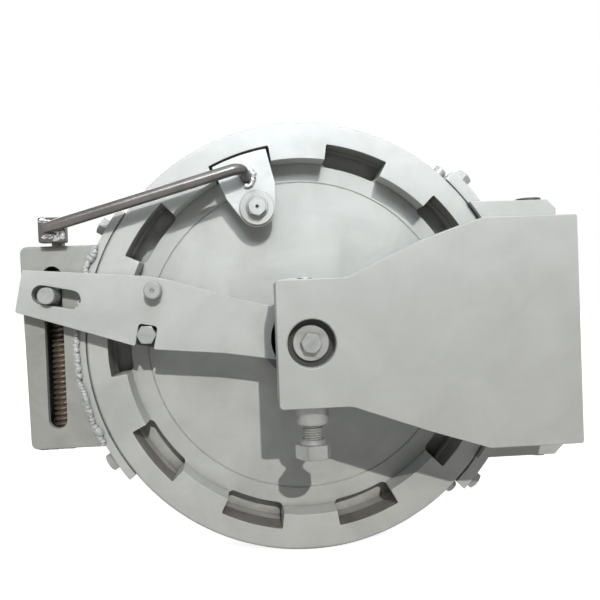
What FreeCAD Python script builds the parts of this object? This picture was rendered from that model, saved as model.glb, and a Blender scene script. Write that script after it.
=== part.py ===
import FreeCAD, Part
import Sketcher
import math
import os
import re

# A quick opening closure for a 16 inch vessel neck, locked.
# +Z is up, +Y runs along the neck into the vessel, and the door faces -Y.
# The origin is the centre of the neck's weld end.
# Depths are measured from the hub's front face, positive into the vessel.

SIZES = [
    ("hub_length", 170, "hub face to weld end"),
    ("rim_wall", 27.5, "rim outside the notches"),
    ("rim_length", 95, "straight part of the rim"),
    ("rim_chamfer", 3, "broken edge round the hub face"),
    ("rim_step", 27, "step from the rim down to the taper"),
    ("pipe_radius", 203.2, "outside of the weld neck"),
    ("pipe_bore", 190.5, "bore of the weld neck"),
    ("bore_length", 50, "straight bore of the weld neck"),
    ("neck_length", 32, "straight outside of the weld neck"),
    ("weld_land", 2.5, "flat land at the weld end"),
    ("weld_bevel", 9, "length of the weld bevel"),
    ("tooth_count", 10, "locking teeth in the hub, and lugs on the door"),
    ("notch_radius", 257.5, "root of the notches between the teeth"),
    ("tooth_height", 20.3, "height of the hub's teeth"),
    ("tooth_depth", 37.5, "thickness of the hub's teeth"),
    ("notch_half_angle", 9.35, "half the angle of a notch"),
    ("cavity_depth", 60, "floor of the lug cavity"),
    ("seat_step", 15.2, "from the teeth in to the bore under the seal"),
    ("seat_length", 32, "length of that bore"),
    ("seal_land", 3, "land between that bore and the seal groove"),
    ("seal_width", 7, "width of the seal groove"),
    ("seal_depth", 9, "depth of the seal groove"),
    ("seal_edge", 1, "sloped shoulder of the seal"),
    ("seal_lip_start", 2.1, "inner edge of the seal's lip in its groove"),
    ("seal_lip_width", 2.1, "width of that lip"),
    ("seal_gap", 0.3, "gap between seal and door"),
    ("lug_gap", 0.5, "gap between a tooth and the lug behind it"),
    ("lug_clearance", 2.5, "lugs inside the notch roots"),
    ("lug_half_angle", 8.7, "half the angle of a lug"),
    ("lug_thickness", 21, "thickness of the lugs"),
    ("door_clearance", 2.7, "door inside the hub's teeth"),
    ("plug_clearance", 8, "plug inside the bore"),
    ("plug_depth", 88, "back of the door's rim"),
    ("plug_wall", 36, "rim round the hollow in the door's back"),
    ("dish_depth", 14, "depth of that hollow"),
    ("groove_inset", 2.7, "turned circle inside the plug's radius"),
    ("groove_width", 1.6, "width of the turned circle"),
    ("groove_depth", 1.2, "depth of the turned circle"),
    ("shaft_radius", 17, "journal of the door's centre shaft"),
    ("shaft_shoulder", 30, "shoulder that carries the lever"),
    ("shaft_flange", 58, "flange on the door"),
    ("flange_thickness", 12, "thickness of that flange"),
    ("shoulder_proud", 2, "shoulder in front of the lever"),
    ("bolt_reach", 18, "length of a rim bolt in the hub"),
    ("bolt_clear", 40, "drilling room outside a rim bolt"),
    ("row_front", 20, "front row of rim bolts below the hub face"),
    ("row_back", 64, "back row of rim bolts"),
    ("running_gap", 0.05, "radial clearance of a running fit"),
    ("face_gap", 0.3, "clearance between faces that turn on each other"),
    ("end_play", 0.1, "play of the centre shaft along its bush"),
    ("arm_front", 118, "front of the swing arm above the hub face"),
    ("arm_back", 48, "back of the swing arm above the hub face"),
    ("arm_rise", 4, "wide end of the arm above the centre"),
    ("arm_left", 40, "left end of the arm, from the centre"),
    ("arm_neck", 44, "right end of the arm's straight nose"),
    ("arm_nose_half", 75, "half the height of the arm's nose"),
    ("arm_flare_x", 134, "first bend of the flare"),
    ("arm_flare_half", 112, "half height there"),
    ("arm_full_x", 207, "start of the full height"),
    ("arm_neck_fillet", 30, "rounded corner between nose and flare"),
    ("arm_skin", 16, "front plate of the arm"),
    ("arm_wall", 14, "side walls of the arm"),
    ("nose_wall", 18, "solid end of the nose beside the bore"),
    ("recess_radius", 28.5, "recess for the centre bolt"),
    ("recess_depth", 18, "depth of that recess"),
    ("bush_radius", 24, "outside of the centre bush"),
    ("spacer_radius", 40, "spacer between lever and arm"),
    ("centre_washer_radius", 21.5, "retaining washer"),
    ("centre_washer_thick", 4, "thickness of the retaining washer"),
    ("small_bolt_flats", 22, "across flats of an M14 head"),
    ("small_bolt_head", 9, "height of an M14 head"),
    ("small_bolt_radius", 7, "shank of an M14 bolt"),
    ("small_bolt_thread", 28, "length of an M14 bolt in its hole"),
    ("tapping_spare", 2, "hole beyond the end of a bolt"),
    ("adjuster_depth", 83, "height of the adjusting bolt above the hub face"),
    ("adjuster_radius", 12, "shank of the M24 adjusting bolt"),
    ("adjuster_flats", 36, "across flats of its head and nut"),
    ("adjuster_head", 20, "height of its head"),
    ("adjuster_nut", 21, "height of its lock nut"),
    ("adjuster_show", 24, "bare thread between lock nut and head"),
    ("lever_front", 26, "front of the lever above the hub face"),
    ("lever_thickness", 12, "thickness of the lever"),
    ("lever_hub", 46, "round end of the lever"),
    ("lever_overhang", 43, "lever beyond the lead screw"),
    ("lever_tip_half", 27, "half the lever's width at its free end"),
    ("wide_run_out", 14, "lever's widest stretch outside its pad's centre"),
    ("wide_run_in", 17, "lever's widest stretch inside it"),
    ("lever_wide_half", 45, "half the lever's greatest width"),
    ("lever_waist", 98, "waist of the lever"),
    ("lever_waist_half", 35.5, "half its width there"),
    ("lever_root_half", 32, "half its width at the shaft"),
    ("slot_run_in", 34, "lever's slot inside the lead screw"),
    ("slot_run_out", 27, "lever's slot outside the lead screw"),
    ("slot_clearance", 1.3, "pin in the slots"),
    ("pad_inset", 36.2, "lever pad's centre inside the teeth"),
    ("pad_width", 30, "width of the lever pad"),
    ("pad_half_length", 62, "half the length of the lever pad"),
    ("pad_bolt_offset", 28.5, "pad bolts, from the lever's centre line"),
    ("pad_bolt_reach", 8, "length of a pad bolt in the door"),
    ("gap_half", 13, "half the width of the lever's open notch"),
    ("gap_inner", 16, "bottom of the open notch"),
    ("pad_head_radius", 12, "head of the round pad bolt"),
    ("box_reach", 35, "screw box beyond the lead screw"),
    ("box_half", 131, "half the height of the screw box"),
    ("box_front", 5, "front of the screw box above the hub face"),
    ("box_back", 76, "back of the screw box below the hub face"),
    ("box_wall", 9, "walls of the screw box"),
    ("box_corner", 9, "rounded outer corners of the screw box"),
    ("box_under", 60, "plates' reach inside the rim before they are trimmed"),
    ("box_cover", 5, "back cover of the screw box"),
    ("box_slot_margin", 26, "from the box's ends to its front slot"),
    ("foot_thickness", 11, "thickness of the screw box's foot"),
    ("foot_bolt_margin", 24.4, "from the box's edge to the foot's bolts, round the foot"),
    ("foot_end_margin", 31, "from those bolts to the foot's end"),
    ("foot_front", 0, "front edge of the foot below the hub face"),
    ("foot_back", 84, "back edge of the foot"),
    ("screw_offset", 38, "lead screw outside the rim"),
    ("screw_depth", 30, "lead screw below the hub face"),
    ("screw_radius", 14, "outside of the lead screw"),
    ("screw_journal", 10, "journals of the lead screw"),
    ("screw_square", 14, "square drive end"),
    ("screw_square_length", 26, "length of the drive end"),
    ("journal_spare", 1, "journal short of the box's lower face"),
    ("screw_bush_radius", 15, "outside of the screw bushes"),
    ("bush_flange", 4, "flange of a screw bush outside its seat"),
    ("bush_flange_length", 10, "from the box's wall to the screw's shoulder"),
    ("nut_half", 19, "half the drive nut's width"),
    ("nut_half_height", 22, "half the drive nut's height"),
    ("pin_radius", 10.5, "drive pin"),
    ("pin_height", 67, "drive pin above the centre, locked"),
    ("pin_front", 35, "end of the drive pin above the hub face"),
    ("interlock_angle", 108, "direction of the interlock plate"),
    ("interlock_clearance", 4, "plate inside the notch root"),
    ("interlock_tip_half", 35, "half its width at the notch root"),
    ("interlock_taper", 47.5, "length of its tapered end"),
    ("interlock_shoulder_half", 33, "half its width where its sides start to close in"),
    ("interlock_front", 0.5, "front of the plate below the hub face"),
    ("interlock_thickness", 8, "thickness of the interlock plate"),
    ("vent_step", 24, "vent screw inside the plate's shoulders"),
    ("vent_end", 25, "round inner end of the interlock plate"),
    ("vent_boss", 19, "boss on the door under the plate"),
    ("vent_washer_radius", 23, "washer of the vent screw"),
    ("vent_washer_thick", 4, "thickness of that washer"),
    ("vent_collar", 14.5, "collar of the vent screw"),
    ("vent_collar_thick", 3, "thickness of that collar"),
    ("vent_reach", 24, "depth of the vent screw's hole in the door"),
    ("bleed_radius", 1.8, "bleed hole in the vent screw's head"),
    ("bleed_depth", 9, "depth of that hole"),
    ("plate_hole_gap", 0.5, "vent screw in the plate's hole"),
    ("rod_radius", 7.5, "interlock rod"),
    ("rod_bend", 15, "bend of the rod, at its centre line"),
    ("rod_stand", 18, "rod's corner above the hub face"),
    ("rod_inset", 8, "rod's end inside the block's left face"),
    ("rod_height", 14, "rod's end above the block's underside"),
    ("rod_gap", 1.4, "rod in front of the block, filled by its weld"),
    ("rod_landing", 18, "rod's foot outside the plate's shoulders"),
    ("block_offset", 10, "interlock block beyond the lead screw"),
    ("block_width", 33, "width of the interlock block"),
    ("block_gap", 3, "block above the screw box"),
    ("block_height", 32, "height of the block"),
    ("block_back", 6.5, "back of the block above the hub face"),
    ("block_thickness", 15, "thickness of the block"),
    ("bracket_thickness", 16, "foot of the hinge bracket"),
    ("bracket_bolt_margin", 40, "from an ear to the bracket's outer bolts, round the foot"),
    ("bracket_inner_margin", 47, "from an ear to its inner bolts"),
    ("bracket_end_margin", 17.3, "from the outer bolts to the bracket's end"),
    ("bracket_front", 0, "front of the bracket above the hub face"),
    ("bracket_back", 84, "back of the bracket below the hub face"),
    ("ear_thickness", 26, "thickness of the hinge ears"),
    ("ear_end", 22, "ears beyond the hinge pin"),
    ("ear_chamfer", 12, "cut corner of the ears"),
    ("ear_overlap", 60, "ears' reach under the rim before they are trimmed"),
    ("ear_front", 10, "front of the hinge ears above the hub face"),
    ("ear_back", 76, "back of the hinge ears below the hub face"),
    ("hinge_offset", 38, "hinge pin outside the rim"),
    ("hinge_depth", 28, "hinge pin below the hub face"),
    ("hinge_pin_radius", 12, "hinge pin"),
    ("hinge_pin_end", 8, "hinge pin below the lower ear"),
    ("hinge_head_radius", 17, "head of the hinge pin"),
    ("hinge_head", 6, "height of that head"),
    ("hinge_barrel", 20, "barrel round the hinge pin"),
    ("hinge_bush_radius", 15.5, "outside of the hinge bushes"),
    ("hinge_bush_length", 40, "length of the hinge bushes"),
    ("barrel_bore_gap", 2, "barrel clear of the pin between the bushes"),
    ("barrel_half", 137, "half the length of the barrel"),
    ("barrel_proud", 1, "barrel beyond the arm's half height"),
    ("thrust_thickness", 8.4, "thickness of the thrust washers"),
    ("arm_set", 3, "arm's right end inside the hinge pin"),
    ("web_thickness", 16, "arm's hinge web"),
    ("web_overlap", 5, "web and rib inside the arm's walls"),
    ("stud_height", 18, "height of the locating studs"),
    ("stud_place", 38, "locating studs below the hub face"),
    ("stud_gap", 0.5, "studs beside the bracket's ends"),
    ("stud_radius", 9, "locating studs"),
    ("cut_over", 1, "overrun of a cutting tool past a face"),
]

# Sizes that follow from others, written once and used by name like the rest.
DERIVED = {
    "hub_radius": "notch_radius + rim_wall",
    "taper_radius": "hub_radius - rim_step",
    "tooth_radius": "notch_radius - tooth_height",
    "seat_radius": "tooth_radius - seat_step",
    "seal_inner": "seat_radius + seal_land",
    "lug_radius": "notch_radius - lug_clearance",
    "door_radius": "tooth_radius - door_clearance",
    "door_face": "tooth_depth + lug_gap",
    "lug_back": "door_face + lug_thickness",
    "plug_radius": "seat_radius - plug_clearance",
    "dish_radius": "plug_radius - plug_wall",
    "groove_radius": "plug_radius - groove_inset",
    "shaft_neck": "lever_front + shoulder_proud",
    "shaft_end": "arm_front - recess_depth + end_play",
    "adjuster_under": "arm_nose_half + adjuster_nut + adjuster_show",
    "screw_x": "hub_radius + screw_offset",
    "slot_half": "pin_radius + slot_clearance",
    "slot_near": "screw_x - slot_run_in",
    "slot_far": "screw_x + slot_run_out",
    "lever_tip": "screw_x + lever_overhang",
    "pad_place": "tooth_radius - pad_inset",
    "lever_wide_far": "pad_place + wide_run_out",
    "lever_wide_near": "pad_place - wide_run_in",
    "foot_seat": "hub_radius + foot_thickness",
    "box_left": "screw_x + box_reach",
    "box_slot_half": "box_half - box_slot_margin",
    "interlock_tip": "notch_radius - interlock_clearance",
    "interlock_shoulder": "interlock_tip - interlock_taper",
    "vent_place": "interlock_shoulder - vent_step",
    "block_left": "screw_x + block_offset",
    "block_low": "box_half + block_gap",
    "bracket_seat": "hub_radius + bracket_thickness",
    "hinge_x": "hub_radius + hinge_offset",
    "arm_right": "hinge_x - arm_set",
    "web_left": "arm_right - web_thickness",
    "arm_full_half": "barrel_half - barrel_proud",
    "ear_inner": "barrel_half + thrust_thickness + 2 * face_gap",
    "ear_outer": "ear_inner + ear_thickness",
    "ear_left": "hub_radius - ear_overlap",
    "ear_right": "hinge_x + ear_end",
}

HALF_TURN = 180
SMALL = 0.01
FRONT = FreeCAD.Rotation(FreeCAD.Vector(1, 0, 0), 90)
UPRIGHT = FreeCAD.Rotation()
DOWN = FreeCAD.Rotation(FreeCAD.Vector(1, 0, 0), HALF_TURN)
ALIASES = {alias for alias, value, note in SIZES}
WORD = re.compile(r"[A-Za-z_][A-Za-z_0-9]*")

doc = FreeCAD.newDocument("QuickOpeningClosure")
sheet = doc.addObject("Spreadsheet::Sheet", "Sizes")
for row, (alias, value, note) in enumerate(SIZES, start=1):
    sheet.set(f"A{row}", note)
    sheet.set(f"B{row}", str(value))
    sheet.setAlias(f"B{row}", alias)
doc.recompute()

nodes = {}


def on_sheet(formula):
    """A formula in the sizes' plain names, written in terms of the sheet."""
    def written(match):
        word = match.group(0)
        if word in DERIVED:
            return f"({on_sheet(DERIVED[word])})"
        return f"Sizes.{word}" if word in ALIASES else word
    return WORD.sub(written, str(formula))


def bind(item, prop, formula):
    """Tie a property to the sheet."""
    item.setExpression(prop, on_sheet(formula))


def number(formula):
    """The value of a formula, read back from the document."""
    probe = doc.addObject("Part::Vertex", "probe")
    bind(probe, "X", formula)
    probe.recompute()
    result = probe.X.Value
    doc.removeObject(probe.Name)
    return result


def angle_to(height, radius):
    """The angle at which a height is reached on a circle."""
    return math.degrees(math.asin(number(height) / number(radius)))


def angle_of(run, radius):
    """The angle of a run measured round a circle."""
    return math.degrees(number(run) / number(radius))


def place(item, x="0", depth="0", z="0", turn=UPRIGHT):
    """Put an item at x and z, at a depth below the hub's front face."""
    item.Placement = FreeCAD.Placement(FreeCAD.Vector(0, 0, 0), turn)
    bind(item, "Placement.Base.x", x)
    bind(item, "Placement.Base.y", f"{depth} - hub_length")
    bind(item, "Placement.Base.z", z)
    return item


def seen_turned(angle):
    """A front-facing frame, turned anticlockwise as seen from the front."""
    return FRONT.multiply(FreeCAD.Rotation(FreeCAD.Vector(0, 0, 1), angle))


def outward(angle):
    """A frame whose own Z axis points outwards, at an angle seen from the front."""
    return FreeCAD.Rotation(FreeCAD.Vector(0, 1, 0), 90 - angle)


def cylinder(name, radius, height, x="0", depth="0", z="0", turn=FRONT, angle=None):
    item = doc.addObject("Part::Cylinder", name)
    bind(item, "Radius", radius)
    bind(item, "Height", height)
    if angle:
        bind(item, "Angle", angle)
    return place(item, x, depth, z, turn)


def slab(name, left, right, front, back, low, high):
    item = doc.addObject("Part::Box", name)
    bind(item, "Length", f"({right}) - ({left})")
    bind(item, "Width", f"({back}) - ({front})")
    bind(item, "Height", f"({high}) - ({low})")
    return place(item, left, front, low)


def hexagon(name, flats, height, x="0", depth="0", z="0", turn=FRONT):
    item = doc.addObject("Part::Prism", name)
    item.Polygon = 6
    bind(item, "Circumradius", f"{flats} / sqrt(3)")
    bind(item, "Height", height)
    return place(item, x, depth, z, turn)


def fuse(name, items):
    item = doc.addObject("Part::MultiFuse", name)
    item.Shapes = items
    item.Refine = True
    return item


def cut(name, base, tools):
    item = doc.addObject("Part::Cut", name)
    item.Base = base
    item.Tool = tools[0] if len(tools) == 1 else fuse(name + "_tools", tools)
    item.Refine = True
    return item


def plane_of(body, role):
    return next(part for part in body.Origin.OriginFeatures if part.Role == role)


def outline(body, name, role, corners):
    """A closed sketch with straight sides, each corner held by two bound distances."""
    sketch = body.newObject("Sketcher::SketchObject", name)
    sketch.AttachmentSupport = (plane_of(body, role), [""])
    sketch.MapMode = "FlatFace"
    count = len(corners)
    turn = FreeCAD.Rotation(FreeCAD.Vector(0, 0, 1), 360 / count)
    rough = [FreeCAD.Vector(10, 0, 0)]
    for corner in corners[1:]:
        rough.append(turn.multVec(rough[-1]))
    for index in range(count):
        sketch.addGeometry(Part.LineSegment(rough[index], rough[(index + 1) % count]))
    for index in range(count):
        sketch.addConstraint(Sketcher.Constraint("Coincident", index, 2, (index + 1) % count, 1))
    for index, (across, along) in enumerate(corners):
        for kind, formula in (("DistanceX", across), ("DistanceY", along)):
            number = sketch.addConstraint(Sketcher.Constraint(kind, -1, 1, index, 1, 1.0))
            bind(sketch, f"Constraints[{number}]", formula)
    return sketch


def turned(name, corners, x="0", depth="0", z="0", turn=FRONT):
    """A turned piece: corners are radius and height along the piece's own axis."""
    body = doc.addObject("PartDesign::Body", name)
    sketch = outline(body, name + "_profile", "XZ_Plane", corners)
    revolution = body.newObject("PartDesign::Revolution", name + "_turned")
    revolution.Profile = sketch
    revolution.ReferenceAxis = (sketch, ["V_Axis"])
    revolution.Angle = 360
    return place(body, x, depth, z, turn)


def plate(name, corners, thickness, x="0", depth="0", z="0", turn=FRONT):
    """A plate cut to an outline, as thick as said, standing forward of its depth."""
    body = doc.addObject("PartDesign::Body", name)
    sketch = outline(body, name + "_outline", "XY_Plane", corners)
    pad = body.newObject("PartDesign::Pad", name + "_pad")
    pad.Profile = sketch
    bind(pad, "Length", thickness)
    return place(body, x, depth, z, turn)


def rounded(name, base, radius, chosen):
    """Round the edges along Y of a finished shape, where a test on x and z picks them out."""
    doc.recompute()
    size = number(radius)
    picked = []
    for index, edge in enumerate(base.Shape.Edges, start=1):
        first, last = edge.Vertexes[0].Point, edge.Vertexes[-1].Point
        run = last - first
        if run.Length > SMALL and abs(run.y) > run.Length - SMALL and chosen(first.x, first.z):
            picked.append((index, size, size))
    item = doc.addObject("Part::Fillet", name)
    item.Base = base
    item.Edges = picked
    return item


def near(value, target):
    return abs(value - target) < SMALL


def node(name, item):
    item.Label = name
    nodes[name] = item
    return item


def spot(angle, along, across="0"):
    """Where a point along and across a direction lies, as x and z."""
    x = f"({along}) * cos({angle}) - ({across}) * sin({angle})"
    z = f"({along}) * sin({angle}) + ({across}) * cos({angle})"
    return {"x": x, "z": z}


TEETH = round(number("tooth_count"))
PITCH_ANGLE = 2 * HALF_TURN / TEETH
LEVER_ANGLE = HALF_TURN - math.degrees(math.atan2(number("pin_height"), number("screw_x")))
FOOT_BOLT_ANGLE = angle_to("box_half", "foot_seat") + angle_of("foot_bolt_margin", "foot_seat")
FOOT_HALF_ANGLE = FOOT_BOLT_ANGLE + angle_of("foot_end_margin", "foot_seat")
BRACKET_BOLT_ANGLE = angle_to("ear_outer", "bracket_seat") + angle_of("bracket_bolt_margin", "bracket_seat")
BRACKET_HALF_ANGLE = BRACKET_BOLT_ANGLE + angle_of("bracket_end_margin", "bracket_seat")
INNER_BOLT_ANGLE = angle_to("ear_inner", "bracket_seat") - angle_of("bracket_inner_margin", "bracket_seat")
STUD_ANGLE = BRACKET_HALF_ANGLE + angle_of("stud_radius + stud_gap", "hub_radius")


def make_hub():
    """The hub ring: a turned forging with a lug cavity, a seal groove and a weld neck."""
    floor = "hub_length - cavity_depth"
    ring = turned("hub_turned", [
        ("pipe_bore", "0"),
        ("pipe_bore + weld_land", "0"),
        ("pipe_radius", "weld_bevel"),
        ("pipe_radius", "neck_length"),
        ("taper_radius", "hub_length - rim_length"),
        ("hub_radius", "hub_length - rim_length"),
        ("hub_radius", "hub_length - rim_chamfer"),
        ("hub_radius - rim_chamfer", "hub_length"),
        ("notch_radius", "hub_length"),
        ("notch_radius", floor),
        ("seal_inner + seal_width", floor),
        ("seal_inner + seal_width", floor + " - seal_depth"),
        ("seal_inner", floor + " - seal_depth"),
        ("seal_inner", floor),
        ("seat_radius", floor),
        ("seat_radius", floor + " - seat_length"),
        ("pipe_bore", "bore_length"),
    ], depth="hub_length")
    holes = [rim_hole(angle, row, "hub_tapping") for angle, row in foot_bolt_places() + bracket_bolt_places()]
    node("hub_ring", cut("hub_cut", ring, holes))


def make_teeth():
    """The ten locking teeth inside the rim, with the notches between them."""
    half = PITCH_ANGLE / 2 - number("notch_half_angle")
    node("hub_teeth", sectors("tooth", "notch_radius", "tooth_radius", half, "tooth_depth", "tooth_depth"))


def sectors(name, outer, inner, half_angle, thickness, depth):
    """One block of a ring for each tooth, midway between the notches."""
    fan = doc.addObject("Part::Compound", name + "_fan")
    fan.Links = [
        cylinder(f"{name}_{index}", outer, thickness, depth=depth, angle=2 * half_angle,
                 turn=seen_turned(PITCH_ANGLE * (index + 0.5) - half_angle))
        for index in range(TEETH)]
    core = cylinder(name + "_core", inner, thickness, depth=depth)
    return cut(name + "_ring", fan, [core])


def foot_bolt_places():
    return [(HALF_TURN + way * FOOT_BOLT_ANGLE, row) for way in (1, -1) for row in ("row_front", "row_back")]


def bracket_bolt_places():
    sides = (BRACKET_BOLT_ANGLE, INNER_BOLT_ANGLE)
    return [(way * side, row) for side in sides for way in (1, -1) for row in ("row_front", "row_back")]


def rim_hole(angle, row, name):
    """A radial hole through a foot and into the rim."""
    return cylinder(name, "small_bolt_radius", "bolt_reach + bolt_clear", depth=row,
                    turn=outward(angle), **spot(angle, "hub_radius - bolt_reach"))


def rim_bolts(name, places, seat):
    """Hexagon bolts that stand outwards on a foot, as one group."""
    bolts = []
    for angle, row in places:
        shank = cylinder(name + "_shank", "small_bolt_radius", f"{seat} - (hub_radius - bolt_reach)",
                         depth=row, turn=outward(angle), **spot(angle, "hub_radius - bolt_reach"))
        head = hexagon(name + "_head", "small_bolt_flats", "small_bolt_head",
                       depth=row, turn=outward(angle), **spot(angle, seat))
        bolts.append(fuse(name + "_bolt", [shank, head]))
    group = doc.addObject("Part::Compound", name)
    group.Links = bolts
    node(name, group)


def make_seal():
    """The door seal in its groove, with a lip that stands towards the door."""
    tip = "cavity_depth + seal_depth - lug_back - seal_gap"
    node("door_seal", turned("seal", [
        ("seal_inner", "0"),
        ("seal_inner + seal_width", "0"),
        ("seal_inner + seal_width", "seal_depth - seal_edge"),
        ("seal_inner + seal_lip_start + seal_lip_width", tip),
        ("seal_inner + seal_lip_start", tip),
        ("seal_inner", "seal_depth - seal_edge"),
    ], depth="cavity_depth + seal_depth"))


def make_door():
    """The door: a turned plate with a plug and a hollow back, and ten lugs round its edge."""
    face = "plug_depth - door_face"
    shoulder = "plug_depth - lug_back"
    edge = "groove_radius + groove_width / 2"
    inner = "groove_radius - groove_width / 2"
    disc = turned("door_turned", [
        ("0", "dish_depth"),
        ("dish_radius - dish_depth", "dish_depth"),
        ("dish_radius", "0"),
        ("plug_radius", "0"),
        ("plug_radius", shoulder),
        ("door_radius", shoulder),
        ("door_radius", face),
        (edge, face),
        (edge, face + " - groove_depth"),
        (inner, face + " - groove_depth"),
        (inner, face),
        ("0", face),
    ], depth="plug_depth")
    vent = cylinder("vent_tapping", "small_bolt_radius + running_gap", "vent_reach + cut_over",
                    depth="door_face + vent_reach", **spot("interlock_angle", "vent_place"))
    pad_holes = [pad_hole(side, "door_pad_hole") for side in (1, -1)]
    node("door_cover", cut("door_cut", disc, [vent] + pad_holes))
    half = number("lug_half_angle")
    node("door_lugs", sectors("lug", "lug_radius", "door_radius", half, "lug_thickness", "lug_back"))


def pad_hole(side, name):
    bottom = "door_face + pad_bolt_reach + tapping_spare"
    return cylinder(name, "small_bolt_radius", f"{bottom} + lever_front + cut_over", depth=bottom,
                    **spot(LEVER_ANGLE, "pad_place", f"{side} * pad_bolt_offset"))


def make_shaft():
    """The door's centre shaft, with its flange, the lever's shoulder and the journal."""
    top = "door_face + shaft_end"
    shaft = turned("shaft", [
        ("0", "0"),
        ("shaft_flange", "0"),
        ("shaft_flange", "flange_thickness"),
        ("shaft_shoulder", "flange_thickness"),
        ("shaft_shoulder", "door_face + shaft_neck"),
        ("shaft_radius", "door_face + shaft_neck"),
        ("shaft_radius", top),
        ("0", top),
    ], depth="door_face")
    end = "-shaft_end"
    hole_length = "small_bolt_thread + tapping_spare"
    tapping = cylinder("shaft_tapping", "small_bolt_radius", f"{hole_length} + cut_over",
                       depth=f"{end} + {hole_length}")
    node("centre_shaft", cut("shaft_cut", shaft, [tapping]))
    washer = cylinder("washer_disc", "centre_washer_radius", "centre_washer_thick", depth=end)
    hole = cylinder("washer_hole", "small_bolt_radius", "centre_washer_thick", depth=end)
    node("centre_washer", cut("washer_cut", washer, [hole]))
    under = f"{end} - centre_washer_thick"
    shank = cylinder("centre_shank", "small_bolt_radius", "small_bolt_thread + centre_washer_thick",
                     depth=f"{end} + small_bolt_thread")
    head = hexagon("centre_head", "small_bolt_flats", "small_bolt_head", depth=under)
    node("centre_bolt", fuse("centre_bolt_whole", [shank, head]))
    node("shaft_spacer", turned("spacer", [
        ("shaft_radius + running_gap", "0"),
        ("spacer_radius", "0"),
        ("spacer_radius", "arm_back - shaft_neck - face_gap"),
        ("shaft_radius + running_gap", "arm_back - shaft_neck - face_gap"),
    ], depth="-shaft_neck"))
    node("centre_bush", turned("bush", [
        ("shaft_radius + running_gap", "0"),
        ("bush_radius", "0"),
        ("bush_radius", "arm_front - recess_depth - arm_back"),
        ("shaft_radius + running_gap", "arm_front - recess_depth - arm_back"),
    ], depth="-arm_back"))


def mirrored(half):
    """An outline from its points on one side, mirrored about the horizontal line."""
    return [(x, f"-({z})") for x, z in half] + [(x, z) for x, z in reversed(half)]


def risen(half, straight):
    """The same, with the points after the straight ones raised by the arm's rise."""
    low = [(x, f"-({z})") for x, z in half]
    high = list(reversed(half))
    count = len(half)
    return (low[:straight] + [(x, f"{z} + arm_rise") for x, z in low[straight:]]
            + [(x, f"{z} + arm_rise") for x, z in high[:count - straight]] + high[count - straight:])


def make_arm():
    """The swing arm: a deep open-backed casting with a bored nose and a hinge barrel."""
    block = plate("arm_body", risen([
        ("-arm_left", "arm_nose_half"),
        ("arm_neck", "arm_nose_half"),
        ("arm_flare_x", "arm_flare_half"),
        ("arm_full_x", "arm_full_half"),
        ("arm_right", "arm_full_half"),
    ], 2), "arm_front - arm_back", depth="-arm_back")
    neck = number("arm_neck")
    body = rounded("arm_neck_corners", block, "arm_neck_fillet", lambda x, z: near(x, neck))
    hollow = plate("arm_hollow", risen([
        ("arm_neck + nose_wall", "arm_nose_half - arm_wall + web_overlap"),
        ("arm_flare_x", "arm_flare_half - arm_wall"),
        ("arm_full_x", "arm_full_half - arm_wall"),
        ("web_left", "arm_full_half - arm_wall"),
    ], 1), "arm_front - arm_back - arm_skin + cut_over", depth="cut_over - arm_back")
    rib = slab("arm_rib", "arm_neck + nose_wall - web_overlap", "web_left + web_overlap",
               "-arm_front + arm_skin / 2", "-arm_back", "arm_rise - arm_wall / 2", "arm_rise + arm_wall / 2")
    web = slab("arm_web", "web_left", "arm_right", "-arm_back - web_overlap", "hinge_depth",
               "arm_rise - arm_full_half", "barrel_half")
    barrel = cylinder("arm_barrel", "hinge_barrel", "2 * barrel_half",
                      "hinge_x", "hinge_depth", "-barrel_half", UPRIGHT)
    shell = fuse("arm_shell", [cut("arm_open", body, [hollow]), rib, web, barrel])
    holes = [
        cylinder("arm_bore", "bush_radius", "arm_front - arm_back", depth="-arm_back"),
        cylinder("arm_recess", "recess_radius", "recess_depth + cut_over", depth="-arm_front + recess_depth"),
        cylinder("arm_adjuster", "adjuster_radius + running_gap", "arm_nose_half",
                 "0", "-adjuster_depth", "-arm_nose_half - cut_over", UPRIGHT),
        cylinder("barrel_bore", "hinge_pin_radius + barrel_bore_gap", "2 * barrel_half",
                 "hinge_x", "hinge_depth", "-barrel_half", UPRIGHT),
    ]
    for low in ("barrel_half - hinge_bush_length", "-barrel_half"):
        holes.append(cylinder("barrel_seat", "hinge_bush_radius", "hinge_bush_length",
                              "hinge_x", "hinge_depth", low, UPRIGHT))
    node("swing_arm", cut("arm_cut", shell, holes))


def make_adjuster():
    """The bolt that sets the door's height in the arm, and its lock nut."""
    tip = "-(bush_radius + face_gap)"
    shank = cylinder("adjuster_shank", "adjuster_radius", f"adjuster_under + {tip}",
                     "0", "-adjuster_depth", "-adjuster_under", UPRIGHT)
    head = hexagon("adjuster_hexagon", "adjuster_flats", "adjuster_head",
                   "0", "-adjuster_depth", "-adjuster_under - adjuster_head", UPRIGHT)
    node("adjusting_bolt", fuse("adjuster", [shank, head]))
    nut = hexagon("nut_hexagon", "adjuster_flats", "adjuster_nut",
                  "0", "-adjuster_depth", "-arm_nose_half - adjuster_nut", UPRIGHT)
    hole = cylinder("nut_hole", "adjuster_radius + running_gap", "adjuster_nut",
                    "0", "-adjuster_depth", "-arm_nose_half - adjuster_nut", UPRIGHT)
    node("adjusting_lock_nut", cut("adjuster_nut_cut", nut, [hole]))


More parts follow.
